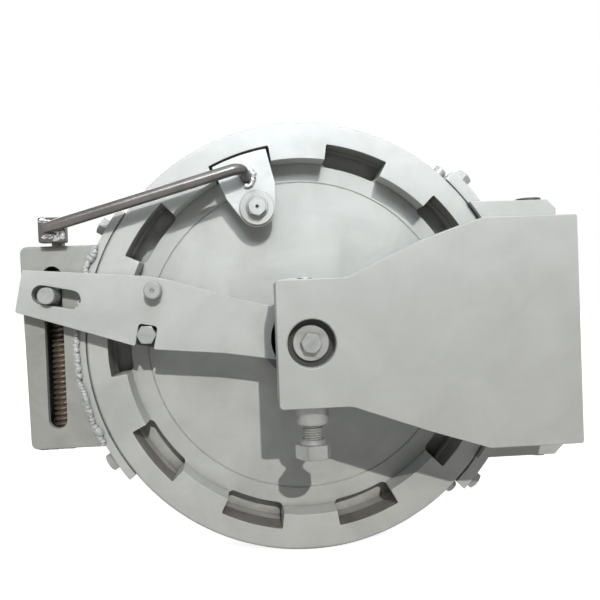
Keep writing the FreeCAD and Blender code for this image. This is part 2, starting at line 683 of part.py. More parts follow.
def make_lever():
    """The lever that turns the door, its pad on the door and the pad's two bolts."""
    turn = seen_turned(LEVER_ANGLE)
    back = "lever_thickness - lever_front"
    blade = plate("lever_blade", mirrored([
        ("0", "lever_root_half"),
        ("lever_waist", "lever_waist_half"),
        ("lever_wide_near", "lever_wide_half"),
        ("lever_wide_far", "lever_wide_half"),
        ("lever_tip", "lever_tip_half"),
    ]), "lever_thickness", depth=back, turn=turn)
    eye = cylinder("lever_eye", "lever_hub", "lever_thickness", depth=back)
    slot = [plate("lever_slot", [
        ("slot_near + slot_half", "-slot_half"),
        ("slot_far - slot_half", "-slot_half"),
        ("slot_far - slot_half", "slot_half"),
        ("slot_near + slot_half", "slot_half"),
    ], "lever_thickness", depth=back, turn=turn)]
    for end in ("slot_near + slot_half", "slot_far - slot_half"):
        slot.append(cylinder("slot_end", "slot_half", "lever_thickness", depth=back,
                             **spot(LEVER_ANGLE, end)))
    gap = plate("lever_gap", [
        ("pad_place - gap_half", "gap_inner"),
        ("pad_place + gap_half", "gap_inner"),
        ("pad_place + gap_half", "lever_wide_half + cut_over"),
        ("pad_place - gap_half", "lever_wide_half + cut_over"),
    ], "lever_thickness", depth=back, turn=turn)
    hole = cylinder("lever_shaft_hole", "shaft_shoulder + running_gap", "lever_thickness", depth=back)
    node("lever_plate", cut("lever_cut", fuse("lever_whole", [blade, eye]),
                            slot + [gap, hole, pad_hole(-1, "lever_bolt_hole")]))
    block = plate("pad_block", [
        ("pad_place - pad_width / 2", "-pad_half_length"),
        ("pad_place + pad_width / 2", "-pad_half_length"),
        ("pad_place + pad_width / 2", "pad_half_length"),
        ("pad_place - pad_width / 2", "pad_half_length"),
    ], "door_face + lever_front - lever_thickness", depth="door_face", turn=turn)
    node("lever_pad", cut("pad_cut", block, [pad_hole(side, "pad_bolt_hole") for side in (1, -1)]))
    place_round = spot(LEVER_ANGLE, "pad_place", "-pad_bolt_offset")
    place_hex = spot(LEVER_ANGLE, "pad_place", "pad_bolt_offset")
    tip = "door_face + pad_bolt_reach"
    shank = cylinder("round_shank", "small_bolt_radius", f"{tip} + lever_front", depth=tip, **place_round)
    head = cylinder("round_head", "pad_head_radius", "small_bolt_head", depth="-lever_front", **place_round)
    node("lever_round_bolt", fuse("round_bolt", [shank, head]))
    shank = cylinder("hex_shank", "small_bolt_radius", f"{tip} - ({back})", depth=tip, **place_hex)
    head = hexagon("hex_head", "small_bolt_flats", "small_bolt_head", depth=back, **place_hex)
    node("lever_hex_bolt", fuse("hex_bolt", [shank, head]))


def make_screw_box():
    """The screw box: a welded box with a slotted front, its curved foot and its back cover."""
    left, right = "-box_left", "box_under - hub_radius"
    corner_x, corner_z = number("-box_left"), number("box_half")

    def outer_corner(x, z):
        return near(x, corner_x) and near(abs(z), corner_z)

    plain = slab("box_block", left, right, "-box_front", "box_back", "-box_half", "box_half")
    block = rounded("box_corners", plain, "box_corner", outer_corner)
    inside = slab("box_inside", "box_wall - box_left", f"{right} + cut_over", "box_wall - box_front",
                  "box_back + cut_over", "box_wall - box_half", "box_half - box_wall")
    rim = cylinder("box_rim", "foot_seat", "box_back + box_front + 2 * cut_over", depth="box_back + cut_over")
    slot = [slab("box_slot", "-screw_x - slot_half", "-screw_x + slot_half", "-box_front",
                 "box_wall - box_front", "slot_half - box_slot_half", "box_slot_half - slot_half")]
    for end in ("box_slot_half - slot_half", "slot_half - box_slot_half"):
        slot.append(cylinder("box_slot_end", "slot_half", "box_wall + cut_over", "-screw_x",
                             "box_wall - box_front", end))
    seats = cylinder("box_bush_seats", "screw_bush_radius", "2 * box_half",
                     "-screw_x", "screw_depth", "-box_half", UPRIGHT)
    node("screw_box", cut("box_cut", block, [inside, rim, seats] + slot))
    back = "box_back + box_cover"
    plain = slab("cover_plate", left, right, "box_back", back, "-box_half", "box_half")
    cover = rounded("cover_corners", plain, "box_corner", outer_corner)
    cover_rim = cylinder("cover_rim", "foot_seat", "box_cover + 2 * cut_over", depth=f"{back} + cut_over")
    node("screw_box_cover", cut("cover_cut", cover, [cover_rim]))
    sector = cylinder("foot_sector", "foot_seat", "foot_back - foot_front", depth="foot_back",
                      turn=seen_turned(HALF_TURN - FOOT_HALF_ANGLE), angle=2 * FOOT_HALF_ANGLE)
    inside = cylinder("foot_inside", "hub_radius", "foot_back - foot_front", depth="foot_back")
    holes = [rim_hole(angle, row, "foot_hole") for angle, row in foot_bolt_places()]
    node("screw_box_foot", cut("foot_cut", sector, [inside] + holes))
    rim_bolts("box_foot_bolts", foot_bolt_places(), "foot_seat")


def make_lead_screw():
    """The lead screw, its two bushes, the drive nut and the drive pin."""
    shoulder = "(box_half - box_wall - bush_flange_length)"
    centre = {"x": "-screw_x", "depth": "screw_depth"}
    thread = cylinder("screw_thread", "screw_radius", f"2 * {shoulder}", z=f"-{shoulder}",
                      turn=UPRIGHT, **centre)
    journal = cylinder("screw_journals", "screw_journal", "2 * box_half", z="journal_spare - box_half",
                       turn=UPRIGHT, **centre)
    square = slab("screw_drive", "-screw_x - screw_square / 2", "-screw_x + screw_square / 2",
                  "screw_depth - screw_square / 2", "screw_depth + screw_square / 2",
                  "box_half", "box_half + screw_square_length")
    node("lead_screw", fuse("screw_whole", [thread, journal, square]))
    bushes = []
    for turn, way in ((UPRIGHT, "-"), (DOWN, "")):
        bushes.append(turned("screw_bush", [
            ("screw_journal + running_gap", "0"),
            ("screw_bush_radius", "0"),
            ("screw_bush_radius", "box_wall"),
            ("screw_bush_radius + bush_flange", "box_wall"),
            ("screw_bush_radius + bush_flange", "box_wall + bush_flange_length - face_gap"),
            ("screw_journal + running_gap", "box_wall + bush_flange_length - face_gap"),
        ], z=f"{way}box_half", turn=turn, **centre))
    pair = doc.addObject("Part::Compound", "screw_bush_pair")
    pair.Links = bushes
    node("screw_bushes", pair)
    block = slab("nut_block", "-screw_x - nut_half", "-screw_x + nut_half", "screw_depth - nut_half",
                 "screw_depth + nut_half", "pin_height - nut_half_height", "pin_height + nut_half_height")
    hole = cylinder("nut_bore", "screw_radius + running_gap", "2 * nut_half_height",
                    z="pin_height - nut_half_height", turn=UPRIGHT, **centre)
    node("drive_nut", cut("nut_cut", block, [hole]))
    node("drive_pin", cylinder("pin_body", "pin_radius", "pin_front + screw_depth - nut_half",
                               "-screw_x", "screw_depth - nut_half", "pin_height"))


def make_interlock():
    """The pressure interlock: plate, rod, block, and the vent screw that holds it down."""
    turn = seen_turned(number("interlock_angle"))
    back = "(interlock_front + interlock_thickness)"
    vent = spot("interlock_angle", "vent_place")
    tongue = plate("interlock_tongue", mirrored([
        ("vent_place", "vent_end"),
        ("interlock_shoulder", "interlock_shoulder_half"),
        ("interlock_tip", "interlock_tip_half"),
        ("interlock_tip + cut_over", "interlock_tip_half"),
    ]), "interlock_thickness", depth=back, turn=turn)
    limit = cylinder("interlock_limit", "interlock_tip", "interlock_thickness", depth=back)
    trimmed = doc.addObject("Part::Common", "interlock_trimmed")
    trimmed.Base = tongue
    trimmed.Tool = limit
    end = cylinder("interlock_end", "vent_end", "interlock_thickness", depth=back, **vent)
    hole = cylinder("interlock_hole", "small_bolt_radius + plate_hole_gap", "interlock_thickness",
                    depth=back, **vent)
    node("interlock_plate", cut("interlock_cut", fuse("interlock_whole", [trimmed, end]), [hole]))
    boss = cylinder("vent_boss_body", "vent_boss", f"door_face - {back}", depth="door_face", **vent)
    tapping = cylinder("vent_boss_hole", "small_bolt_radius + running_gap", f"door_face - {back}",
                       depth="door_face", **vent)
    node("vent_boss", cut("vent_boss_cut", boss, [tapping]))
    washer = cylinder("vent_washer_disc", "vent_washer_radius", "vent_washer_thick",
                      depth="interlock_front", **vent)
    washer_hole = cylinder("vent_washer_hole", "small_bolt_radius", "vent_washer_thick",
                           depth="interlock_front", **vent)
    node("vent_washer", cut("vent_washer_cut", washer, [washer_hole]))
    top = "(interlock_front - vent_washer_thick)"
    tip = "door_face + vent_reach - tapping_spare"
    shank = cylinder("vent_shank", "small_bolt_radius", f"{tip} - {top}", depth=tip, **vent)
    collar = cylinder("vent_collar_disc", "vent_collar", "vent_collar_thick", depth=top, **vent)
    head_height = "(small_bolt_head + vent_collar_thick)"
    head = hexagon("vent_head", "small_bolt_flats", head_height, depth=top, **vent)
    bleed = cylinder("vent_bleed", "bleed_radius", "bleed_depth + cut_over",
                     depth=f"{top} - {head_height} + bleed_depth", **vent)
    node("vent_screw", cut("vent_cut", fuse("vent_whole", [shank, collar, head]), [bleed]))
    node("interlock_block", slab("block_body", "-block_left", "block_width - block_left",
                                 "-block_back - block_thickness", "-block_back",
                                 "block_low", "block_low + block_height"))


def make_rod():
    """The bent interlock rod, from the block to its weld on the plate."""
    face = -number("hub_length")
    radius = number("rod_radius")
    start = FreeCAD.Vector(number("rod_inset - block_left"),
                           face - number("block_back + block_thickness + rod_radius + rod_gap"),
                           number("block_low + rod_height"))
    angle = math.radians(number("interlock_angle"))
    reach = number("interlock_shoulder + rod_landing")
    end = FreeCAD.Vector(reach * math.cos(angle), face + number("interlock_front"), reach * math.sin(angle))
    corner = FreeCAD.Vector(end.x, face - number("rod_stand"), end.z)
    bend = number("rod_bend")
    first = (start - corner).normalize()
    second = (end - corner).normalize()
    half = first.getAngle(second) / 2
    setback = bend / math.tan(half)
    centre = corner + (first + second).normalize() * (bend / math.sin(half))
    middle = centre + (corner - centre).normalize() * bend
    enter = corner + first * setback
    leave = corner + second * setback
    path = Part.Wire([
        Part.LineSegment(start, enter).toShape(),
        Part.Arc(enter, middle, leave).toShape(),
        Part.LineSegment(leave, end).toShape(),
    ])
    circle = Part.Circle(start, corner - start, radius)
    section = Part.Wire([circle.toShape()])
    rod = doc.addObject("Part::Feature", "interlock_rod_sweep")
    rod.Shape = path.makePipeShell([section], True, True)
    node("interlock_rod", rod)


def make_bracket():
    """The hinge bracket on the rim, its bolts and studs, the hinge pin, bushes and washers."""
    sector = cylinder("bracket_sector", "bracket_seat", "bracket_back - bracket_front", depth="bracket_back",
                      turn=seen_turned(-BRACKET_HALF_ANGLE), angle=2 * BRACKET_HALF_ANGLE)
    ears = []
    for way in ("", "-"):
        inner = f"{way}ear_inner"
        ears.append(plate("ear", [
            ("ear_left", inner),
            ("ear_right", inner),
            ("ear_right", f"{way}(ear_outer - ear_chamfer)"),
            ("ear_right - ear_chamfer", f"{way}ear_outer"),
            ("ear_left", f"{way}ear_outer"),
        ], "ear_back + ear_front", depth="ear_back"))
    hub = cylinder("bracket_inside", "hub_radius", "bracket_back + ear_front + 2 * cut_over",
                   depth="bracket_back + cut_over")
    pin = cylinder("bracket_pin_hole", "hinge_pin_radius", "2 * (ear_outer + cut_over)",
                   "hinge_x", "hinge_depth", "-ear_outer - cut_over", UPRIGHT)
    holes = [rim_hole(angle, row, "bracket_hole") for angle, row in bracket_bolt_places()]
    node("hinge_bracket", cut("bracket_cut", fuse("bracket_whole", [sector] + ears), [hub, pin] + holes))
    rim_bolts("hinge_bracket_bolts", bracket_bolt_places(), "bracket_seat")
    studs = []
    for way in (1, -1):
        angle = way * STUD_ANGLE
        studs.append(cylinder("stud", "stud_radius", "stud_height", depth="stud_place",
                              turn=outward(angle), **spot(angle, "hub_radius")))
    pair = doc.addObject("Part::Compound", "stud_pair")
    pair.Links = studs
    node("locating_studs", pair)
    column = {"x": "hinge_x", "depth": "hinge_depth", "turn": UPRIGHT}
    shank = cylinder("hinge_shank", "hinge_pin_radius", "2 * ear_outer + hinge_pin_end",
                     z="-ear_outer - hinge_pin_end", **column)
    cap = cylinder("hinge_cap", "hinge_head_radius", "hinge_head", z="ear_outer", **column)
    node("hinge_pin", fuse("hinge_pin_whole", [shank, cap]))
    bushes = []
    for low in ("barrel_half - hinge_bush_length", "-barrel_half"):
        sleeve = cylinder("hinge_sleeve", "hinge_bush_radius", "hinge_bush_length", z=low, **column)
        inside = cylinder("hinge_sleeve_bore", "hinge_pin_radius + running_gap", "hinge_bush_length",
                          z=low, **column)
        bushes.append(cut("hinge_bush", sleeve, [inside]))
    group = doc.addObject("Part::Compound", "hinge_bush_pair")
    group.Links = bushes
    node("hinge_bushes", group)
    washers = []
    for low in ("barrel_half + face_gap", "face_gap - ear_inner"):
        disc = cylinder("thrust_disc", "hinge_barrel", "thrust_thickness", z=low, **column)
        inside = cylinder("thrust_bore", "hinge_pin_radius + running_gap", "thrust_thickness",
                          z=low, **column)
        washers.append(cut("thrust_washer", disc, [inside]))
    group = doc.addObject("Part::Compound", "thrust_washer_pair")
    group.Links = washers
    node("hinge_thrust_washers", group)


def check_and_write():
    """Stop on any failed object, then write each node's shape."""
    doc.recompute()
    for item in doc.Objects:
        if "Invalid" in item.State or "Error" in item.State:
            raise RuntimeError(f"{item.Name} failed: {item.State}")
    os.makedirs("parts", exist_ok=True)
    for name, item in nodes.items():
        shape = item.Shape
        if shape.isNull() or not shape.isValid() or shape.Volume <= 0:
            raise RuntimeError(f"{name} has no valid shape")
        shape.exportStep(f"parts/{name}.step")
        print(name, len(shape.Solids), round(shape.Volume))


make_hub()
make_teeth()
make_seal()
make_door()
make_shaft()
make_arm()
make_adjuster()
make_lever()
make_screw_box()
make_lead_screw()
make_interlock()
make_rod()
make_bracket()
check_and_write()
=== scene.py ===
import math

import bmesh
import bpy
from bpy.props import FloatProperty, FloatVectorProperty, PointerProperty
from mathutils import Matrix, Vector, noise


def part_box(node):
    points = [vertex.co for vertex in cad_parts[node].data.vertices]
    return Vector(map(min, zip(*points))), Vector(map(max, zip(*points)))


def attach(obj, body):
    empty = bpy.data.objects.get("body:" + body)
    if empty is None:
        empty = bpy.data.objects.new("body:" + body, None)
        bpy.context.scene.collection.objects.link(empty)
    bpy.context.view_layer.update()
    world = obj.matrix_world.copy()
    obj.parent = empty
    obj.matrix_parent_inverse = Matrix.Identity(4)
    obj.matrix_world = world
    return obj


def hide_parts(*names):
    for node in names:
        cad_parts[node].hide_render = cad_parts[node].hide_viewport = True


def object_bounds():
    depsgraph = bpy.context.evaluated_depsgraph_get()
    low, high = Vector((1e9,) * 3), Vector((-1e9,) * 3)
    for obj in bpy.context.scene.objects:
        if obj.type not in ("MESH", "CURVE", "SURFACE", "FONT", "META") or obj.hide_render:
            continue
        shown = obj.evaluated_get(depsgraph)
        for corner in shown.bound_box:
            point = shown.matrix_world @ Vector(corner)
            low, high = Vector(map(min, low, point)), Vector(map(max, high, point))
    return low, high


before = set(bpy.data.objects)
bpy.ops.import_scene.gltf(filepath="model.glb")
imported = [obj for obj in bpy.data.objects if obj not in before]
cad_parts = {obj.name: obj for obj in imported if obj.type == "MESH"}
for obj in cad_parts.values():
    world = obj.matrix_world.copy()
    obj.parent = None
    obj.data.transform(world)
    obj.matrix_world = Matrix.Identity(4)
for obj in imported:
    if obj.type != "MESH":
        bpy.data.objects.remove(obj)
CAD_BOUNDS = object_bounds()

bl_info = {
    "name": "Quick Opening Closure",
    "version": (1, 0, 0),
    "blender": (4, 5, 0),
    "location": "View3D > Sidebar > Closure",
    "description": "Dresses the packed closure with finished meshes and procedural materials",
    "category": "Object",
}

# Lengths are in metres. A depth counts backwards from the hub's front face, and the front view has X to the
# right and Z up.
MM = 0.001
HUB_LOW, HUB_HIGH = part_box("hub_ring")
FACE_Y = HUB_LOW.y
RIM = HUB_HIGH.z
TEETH = 10
PITCH = math.tau / TEETH
NOTCH_HALF = math.radians(9.35)
LUG_HALF = math.radians(8.7)
SCREW_X = -0.323
SCREW_DEPTH = 0.030
PIN_HEIGHT = 0.067
LEVER_ANGLE = math.atan2(PIN_HEIGHT, SCREW_X)
INTERLOCK_ANGLE = math.radians(108)
# Hexagon heads: points round a head, the share of its width that stays flat, and the slope of its corners.
HEX_STEPS = 60
HEX_FACE = 0.96
HEX_SLOPE = math.tan(math.radians(30))
TOOTH_STEPS = 10
THREAD_ROWS = 9
BEVEL_LIMIT = math.radians(35)
# Smoothing angle in degrees from which a piece counts as round all over and keeps its own normals.
ALL_ROUND = 50
WASHER_GAP = 0.0002
THREAD_GAP = 0.0003
# The camera's lens in millimetres, its spot from the middle of the hub face, and its turn in degrees.
CAMERA_LENS = 39.6
CAMERA_SPOT = (-0.0640, -0.8745, 0.0622)
CAMERA_TURN = (89.154, 2.155, -3.957)
FLOOR_HALF = 6.0
# Broken edge of small turned pieces and thin plates.
SOFT = 0.0008


def length(name, description, value):
    """A size in metres, given in millimetres."""
    return FloatProperty(name=name, description=description, default=value * MM, unit="LENGTH")


def angle(name, description, value):
    """An angle, given in degrees."""
    turn = math.radians(value)
    return FloatProperty(name=name, description=description, default=turn, subtype="ANGLE")


def colour(name, description, value):
    """A linear colour."""
    return FloatVectorProperty(name=name, description=description, default=value, size=3,
                               subtype="COLOR", min=0.0, max=1.0)


class ClosureHubSizes(bpy.types.PropertyGroup):
    """The toothed hub ring and its weld neck"""
    tooth_radius: length("Tooth radius", "Inner face of the hub's teeth", 237.2)
    notch_radius: length("Notch radius", "Root of the notches between the teeth", 257.5)
    notch_fillet: length("Notch fillet", "Rounded corners of the notch roots", 1.6)
    tooth_depth: length("Tooth depth", "Thickness of the hub's teeth", 37.5)
    cavity_depth: length("Cavity depth", "Floor behind the teeth", 60)
    seal_inner: length("Seal groove", "Inside of the seal groove", 225)
    seal_width: length("Seal width", "Width of the seal groove", 7)
    seal_depth: length("Seal depth", "Depth of the seal groove", 9)
    seat_radius: length("Seat radius", "Bore under the seal", 222)
    seat_length: length("Seat length", "Length of that bore", 32)
    rim_length: length("Rim length", "Straight part of the rim", 95)
    rim_step: length("Rim step", "Step from the rim down to the taper", 27)
    pipe_radius: length("Pipe radius", "Outside of the weld neck", 203.2)
    pipe_bore: length("Pipe bore", "Bore of the weld neck", 190.5)
    bore_length: length("Bore length", "Straight bore of the weld neck", 50)
    neck_length: length("Neck length", "Straight outside of the weld neck", 32)
    weld_land: length("Weld land", "Flat land at the weld end", 2.5)
    weld_bevel: length("Weld bevel", "Length of the weld bevel", 9)
    chamfer: length("Chamfer", "Broken edge round the hub face", 3)
    edge: length("Edge", "Broken edge of the teeth", 0.9)


class ClosureDoorSizes(bpy.types.PropertyGroup):
    """The lugged door"""
    lug_radius: length("Lug radius", "Outside of the lugs", 255)
    disc_radius: length("Disc radius", "Outside of the door between its lugs", 234.5)
    lug_fillet: length("Lug fillet", "Rounded roots of the lugs", 7)
    lug_thickness: length("Lug thickness", "Thickness of the lugs", 21)
    face_depth: length("Face depth", "Door face behind the hub face", 38)
    plug_radius: length("Plug radius", "Plug behind the lugs", 214)
    plug_depth: length("Plug depth", "Back of the door behind the hub face", 88)
    dish_radius: length("Dish radius", "Hollow in the door's back", 178)
    dish_depth: length("Dish depth", "Depth of that hollow", 14)
    groove_radius: length("Groove radius", "Turned circle on the face", 211.3)
    groove_width: length("Groove width", "Width of the turned circle", 1.5)
    groove_depth: length("Groove depth", "Depth of the turned circle", 1.2)
    edge: length("Edge", "Broken edges of the door", 0.9)


class ClosureArmSizes(bpy.types.PropertyGroup):
    """The swing arm"""
    nose_half: length("Nose half", "Half the height of the arm's nose", 75)
    neck: length("Neck", "Right end of the straight nose", 44)
    neck_fillet: length("Neck fillet", "Rounded corner between nose and flare", 30)
    flare: length("Flare", "First bend of the flare", 134)
    flare_half: length("Flare half", "Half the height there", 112)
    full: length("Full", "Start of the full height", 207)
    full_half: length("Full half", "Half the full height", 136)
    rise: length("Rise", "Wide end above the centre", 4)
    right: length("Right", "Right end of the arm", 320)
    front: length("Front", "Front of the arm above the hub face", 118)
    back: length("Back", "Back of the arm above the hub face", 48)
    skin: length("Skin", "Front plate of the arm", 16)
    wall: length("Wall", "Side walls of the arm", 14)
    web: length("Web", "Hinge web at the arm's right end", 16)
    hollow_start: length("Hollow start", "Left end of the arm's hollow", 62)
    edge: length("Edge", "Rounded edge of the plate", 1.2)
    bore: length("Bore", "Bore of the nose", 24)
    recess_radius: length("Recess radius", "Recess for the centre bolt", 28.5)
    recess_depth: length("Recess depth", "Depth of that recess", 18)
    barrel_radius: length("Barrel radius", "Hinge barrel", 20)
    barrel_bore: length("Barrel bore", "Bore of the hinge barrel", 15.6)
    barrel_half: length("Barrel half", "Half the length of the barrel", 137)
    hinge_x: length("Hinge", "Hinge pin from the centre", 323)
    hinge_depth: length("Hinge depth", "Hinge pin below the hub face", 28)
    nose_corner: length("Nose corner", "Rounded corners of the nose", 5)
    flare_bend: length("Flare bend", "Radius of the flare's first bend", 60)
    full_bend: length("Full bend", "Radius where the full height starts", 12)
    end_corner: length("End corner", "Rounded corners at the hinge", 3)
    hollow_half: length("Hollow half", "Half the height of the hollow's left end", 66)
    hollow_corner: length("Hollow corner", "Rounded corners of the hollow", 6)
    hollow_bend: length("Hollow bend", "Radius of the hollow's bend", 20)
    lip: length("Recess lip", "Chamfer at the mouth of the recess", 1.2)
    rib_start: length("Rib start", "Left end of the rib in the hollow", 56)
    rib_end: length("Rib end", "Right end of that rib", 306)
    rib_half: length("Rib half", "Half the rib's thickness", 7)
    rib_height: length("Rib height", "Rib from back to front", 60)
    rib_back: length("Rib back", "Back of the rib above the hub face", 48.2)
    nose_weld: length("Nose weld", "Length of the weld along the nose's top", 82)
    nose_bead: length("Nose bead", "Radius of that weld", 2.1)


class ClosureLeverSizes(bpy.types.PropertyGroup):
    """The locking lever, its pad and its bolts"""
    eye: length("Eye", "Round end of the lever", 46)
    eye_bore: length("Eye bore", "Hole for the shaft's shoulder", 30.1)
    root_half: length("Root half", "Half its width at the shaft", 32)
    waist: length("Waist", "Waist of the lever", 98)
    waist_half: length("Waist half", "Half its width there", 35.5)
    wide_near: length("Wide start", "Start of the widest stretch", 184)
    wide_far: length("Wide end", "End of the widest stretch", 215)
    wide_half: length("Wide half", "Half the greatest width", 45)
    tip: length("Tip", "Free end of the lever", 366)
    tip_half: length("Tip half", "Half its width there", 27)
    slot_near: length("Slot start", "Inner end of the slot", 289)
    slot_far: length("Slot end", "Outer end of the slot", 350)
    slot_half: length("Slot half", "Half the slot's width", 11.8)
    pad_place: length("Pad", "Centre of the pad along the lever", 201)
    pad_half_width: length("Pad width", "Half the pad's width", 15)
    bolt_offset: length("Bolt offset", "Pad bolts from the centre line", 28.5)
    gap_half: length("Notch half", "Half the width of the open notch", 11.8)
    gap_inner: length("Notch bottom", "Bottom of the open notch", 16)
    pad_seen: length("Pad reach", "Half the length of the pad behind the lever", 44)
    round_radius: length("Round head", "Head of the round bolt", 10.8)
    round_height: length("Round height", "Height of that head", 17)
    hex_height: length("Hexagon height", "Height of the hexagon bolt's head", 15)
    hex_turn: FloatProperty(name="Hexagon turn", description="How far its head is turned", default=0.5,
                            subtype="ANGLE")
    round_reach: length("Round reach", "Round bolt behind the lever's front", 60)
    hex_reach: length("Hexagon reach", "Hexagon bolt behind the lever's back", 50)
    mark: length("Centre mark", "Turned ring in the round bolt's head", 3.6)
    waist_bend: length("Waist bend", "Radius of the bend at the waist", 100)
    wide_bend: length("Wide bend", "Radius of the bends at the widest stretch", 80)
    tip_corner: length("Tip corner", "Rounded corners of the free end", 3)
    corner: length("Corner", "Rounded corners of the pad and the notch's mouth", 2)
    gap_root: length("Notch root", "Rounded corners at the notch's bottom", 4)
    edge: length("Edge", "Rounded edge of the plates", 0.8)


class ClosureScrewSizes(bpy.types.PropertyGroup):
    """The screw box and the lead screw"""
    pitch: length("Pitch", "Pitch of the lead screw", 7)
    radius: length("Radius", "Outside of the lead screw", 14)
    thread_depth: length("Thread depth", "Depth of its thread", 3)
    thread_half: length("Thread half", "Half the length of its thread", 112)
    journal: length("Journal", "Journals of the lead screw", 10)
    square: length("Square", "Square drive end", 14)
    square_corner: length("Square corner", "Rounded corners of the square", 1)
    shoulder: length("Shoulder", "Plain stretch beyond each end of the thread", 18.5)
    box_corner: length("Box corner", "Rounded corners of the screw box", 9)
    box_lean: length("Box lean", "Upper left corner of the box further out than the lower one", 4.5)
    box_wall: length("Box wall", "Walls of the screw box", 9)
    box_edge: length("Box edge", "Rounded front edge of the box", 2.2)
    box_depth: length("Box depth", "Depth of the box", 81)
    slot_half: length("Slot half", "Half the width of the box's slot", 11.8)
    slot_reach: length("Slot reach", "Half the length of the box's slot", 105)
    slot_cut: length("Slot cut", "How far the slot's cut goes in", 20)
    room_end: length("Room end", "Inside of the box reaches this near the centre", 250)
    foot: length("Foot", "Thickness of the box's foot", 11)
    foot_half: angle("Foot half", "Half the angle that the foot spans", 36.99)
    weld_radius: length("Weld radius", "Weld bead along the box", 4.6)
    weld_ripple: length("Weld ripple", "Spacing of the bead's ripples", 4.5)
    weld_sink: length("Weld sink", "Middle of the bead behind the box's front", 2.2)
    seam_end: length("Seam end", "Right end of the seam from the box's left side", 55)
    seam_radius: length("Seam radius", "Weld seam under the box", 1.4)


class ClosureInterlockSizes(bpy.types.PropertyGroup):
    """The pressure interlock"""
    tip: length("Tip", "Outer end of the plate", 254.5)
    tip_half: length("Tip half", "Half its width there", 37.5)
    shoulder: length("Shoulder", "Where its sides start to close in", 206)
    shoulder_half: length("Shoulder half", "Half its width there", 34)
    end: length("Round end", "Round inner end of the plate", 25)
    end_half: angle("Round end half", "Half the angle that the round end spans", 80)
    edge: length("Edge", "Rounded edges of the plate", 1)
    hole: length("Hole", "Hole for the vent screw", 7.5)
    washer: length("Washer", "Washer of the vent screw", 23)
    collar: length("Collar", "Collar of the vent screw", 14.5)
    collar_height: length("Collar height", "Height of that collar", 3)
    bleed: length("Bleed", "Bleed hole in the screw's head", 1.8)
    head_turn: FloatProperty(name="Head turn", description="How far the screw's head is turned", default=0.2,
                             subtype="ANGLE")
    shank: length("Vent shank", "Length of the vent screw's shank", 62)
    rod_radius: length("Rod radius", "Interlock rod", 7.5)
    rod_bend: length("Rod bend", "Bend of the rod, at its centre line", 15)
    rod_stand: length("Rod stand", "Rod's corner above the hub face", 26)
    rod_lean: length("Rod lean", "Rod's corner left of its foot", 6)
    rod_rise: length("Rod rise", "Rod's corner above its foot", 9)
    rod_height: length("Rod height", "Rod's end above the block's underside", 17)
    rod_gap: length("Rod gap", "Rod in front of the block, filled by its weld", 1.4)
    ring_first: angle("Foot weld start", "Where the weld round the rod's foot starts", -115)
    ring_last: angle("Foot weld end", "Where it ends", 135)
    ring_bead: length("Foot weld", "Radius of that weld", 4.6)
    block_corner: length("Block corner", "Rounded corners of the block", 2.5)
    block_edge: length("Block edge", "Rounded edges of the block", 1.1)


class ClosureFastenerSizes(bpy.types.PropertyGroup):
    """Bolts, nuts and studs"""
    small_flats: length("M14 flats", "Across flats of the small bolts", 22)
    small_head: length("M14 head", "Height of their heads", 9)
    rim_head: length("Rim head", "Height of the rim bolts' heads with their washers", 12)
    shank: length("M14 shank", "Radius of their shanks", 7)
    centre_shank: length("Centre shank", "Length of the centre bolt's shank", 32)
    centre_turn: FloatProperty(name="Centre turn", description="How far the centre bolt's head is turned",
                               default=0.35, subtype="ANGLE")
    large_flats: length("M24 flats", "Across flats of the adjusting bolt", 39)
    large_head: length("M24 head", "Height of its head", 17.5)
    large_radius: length("M24 radius", "Radius of its thread", 12)
    adjuster_turn: angle("Adjuster turn", "How far its head is turned", 18)
    flange: length("Flange", "Flange above its head", 17.2)
    flange_rim: length("Flange rim", "Straight rim of the flange", 1.2)
    flange_top: length("Flange top", "Radius of the flange's top", 13.5)
    flange_height: length("Flange height", "Height of the flange", 5.5)
    nut_radius: length("Lock nut", "Round lock nut", 20)
    nut_drop: length("Nut drop", "Lock nut below its plain solid", 4)
    nut_round: length("Nut round", "Rounded lower end of the lock nut", 5)
    nut_edge: length("Nut edge", "Chamfer at its top", 2)
    thread_pitch: length("Thread pitch", "Pitch of the adjusting bolt", 3)
    thread_depth: length("Thread depth", "Depth of its thread", 1.5)
    foot_angle: angle("Foot bolts", "Bolts of the box's foot, from its middle", 30.99)
    outer_angle: angle("Outer bolts", "Outer bolts of the hinge bracket", 42.46)
    inner_angle: angle("Inner bolts", "Inner bolts of the hinge bracket", 20.07)
    row_front: length("Front row", "Front row of rim bolts behind the hub face", 20)
    row_back: length("Back row", "Back row of rim bolts", 64)
    stud_radius: length("Stud", "Radius of the locating studs", 9)
    stud_height: length("Stud height", "Studs above the rim", 18)
    stud_crown: length("Stud crown", "Rounded end of a stud", 2.5)
    stud_row: length("Stud row", "Studs behind the hub face", 38)
    stud_angle: angle("Stud angle", "Studs above and below the hinge side", 47.67)


class ClosureBracketSizes(bpy.types.PropertyGroup):
    """The hinge bracket"""
    thickness: length("Thickness", "Foot of the hinge bracket", 16)
    half: angle("Half", "Half the angle that the bracket spans", 45.76)
    depth: length("Depth", "Both saddles on the rim, from front to back", 84)
    ear_root: length("Ear root", "Ears start here, from the centre", 225)
    ear_inner: length("Ear inside", "Inner face of the ears", 146)
    ear_outer: length("Ear outside", "Outer face of the ears", 172)
    ear_right: length("Ear end", "Right end of the ears", 345)
    ear_chamfer: length("Ear chamfer", "Cut corner of the ears", 12)
    ear_front: length("Ear front", "Front of the ears above the hub face", 10)
    ear_back: length("Ear back", "Back of the ears below the hub face", 76)
    edge: length("Edge", "Broken edges of the bracket", 1.3)


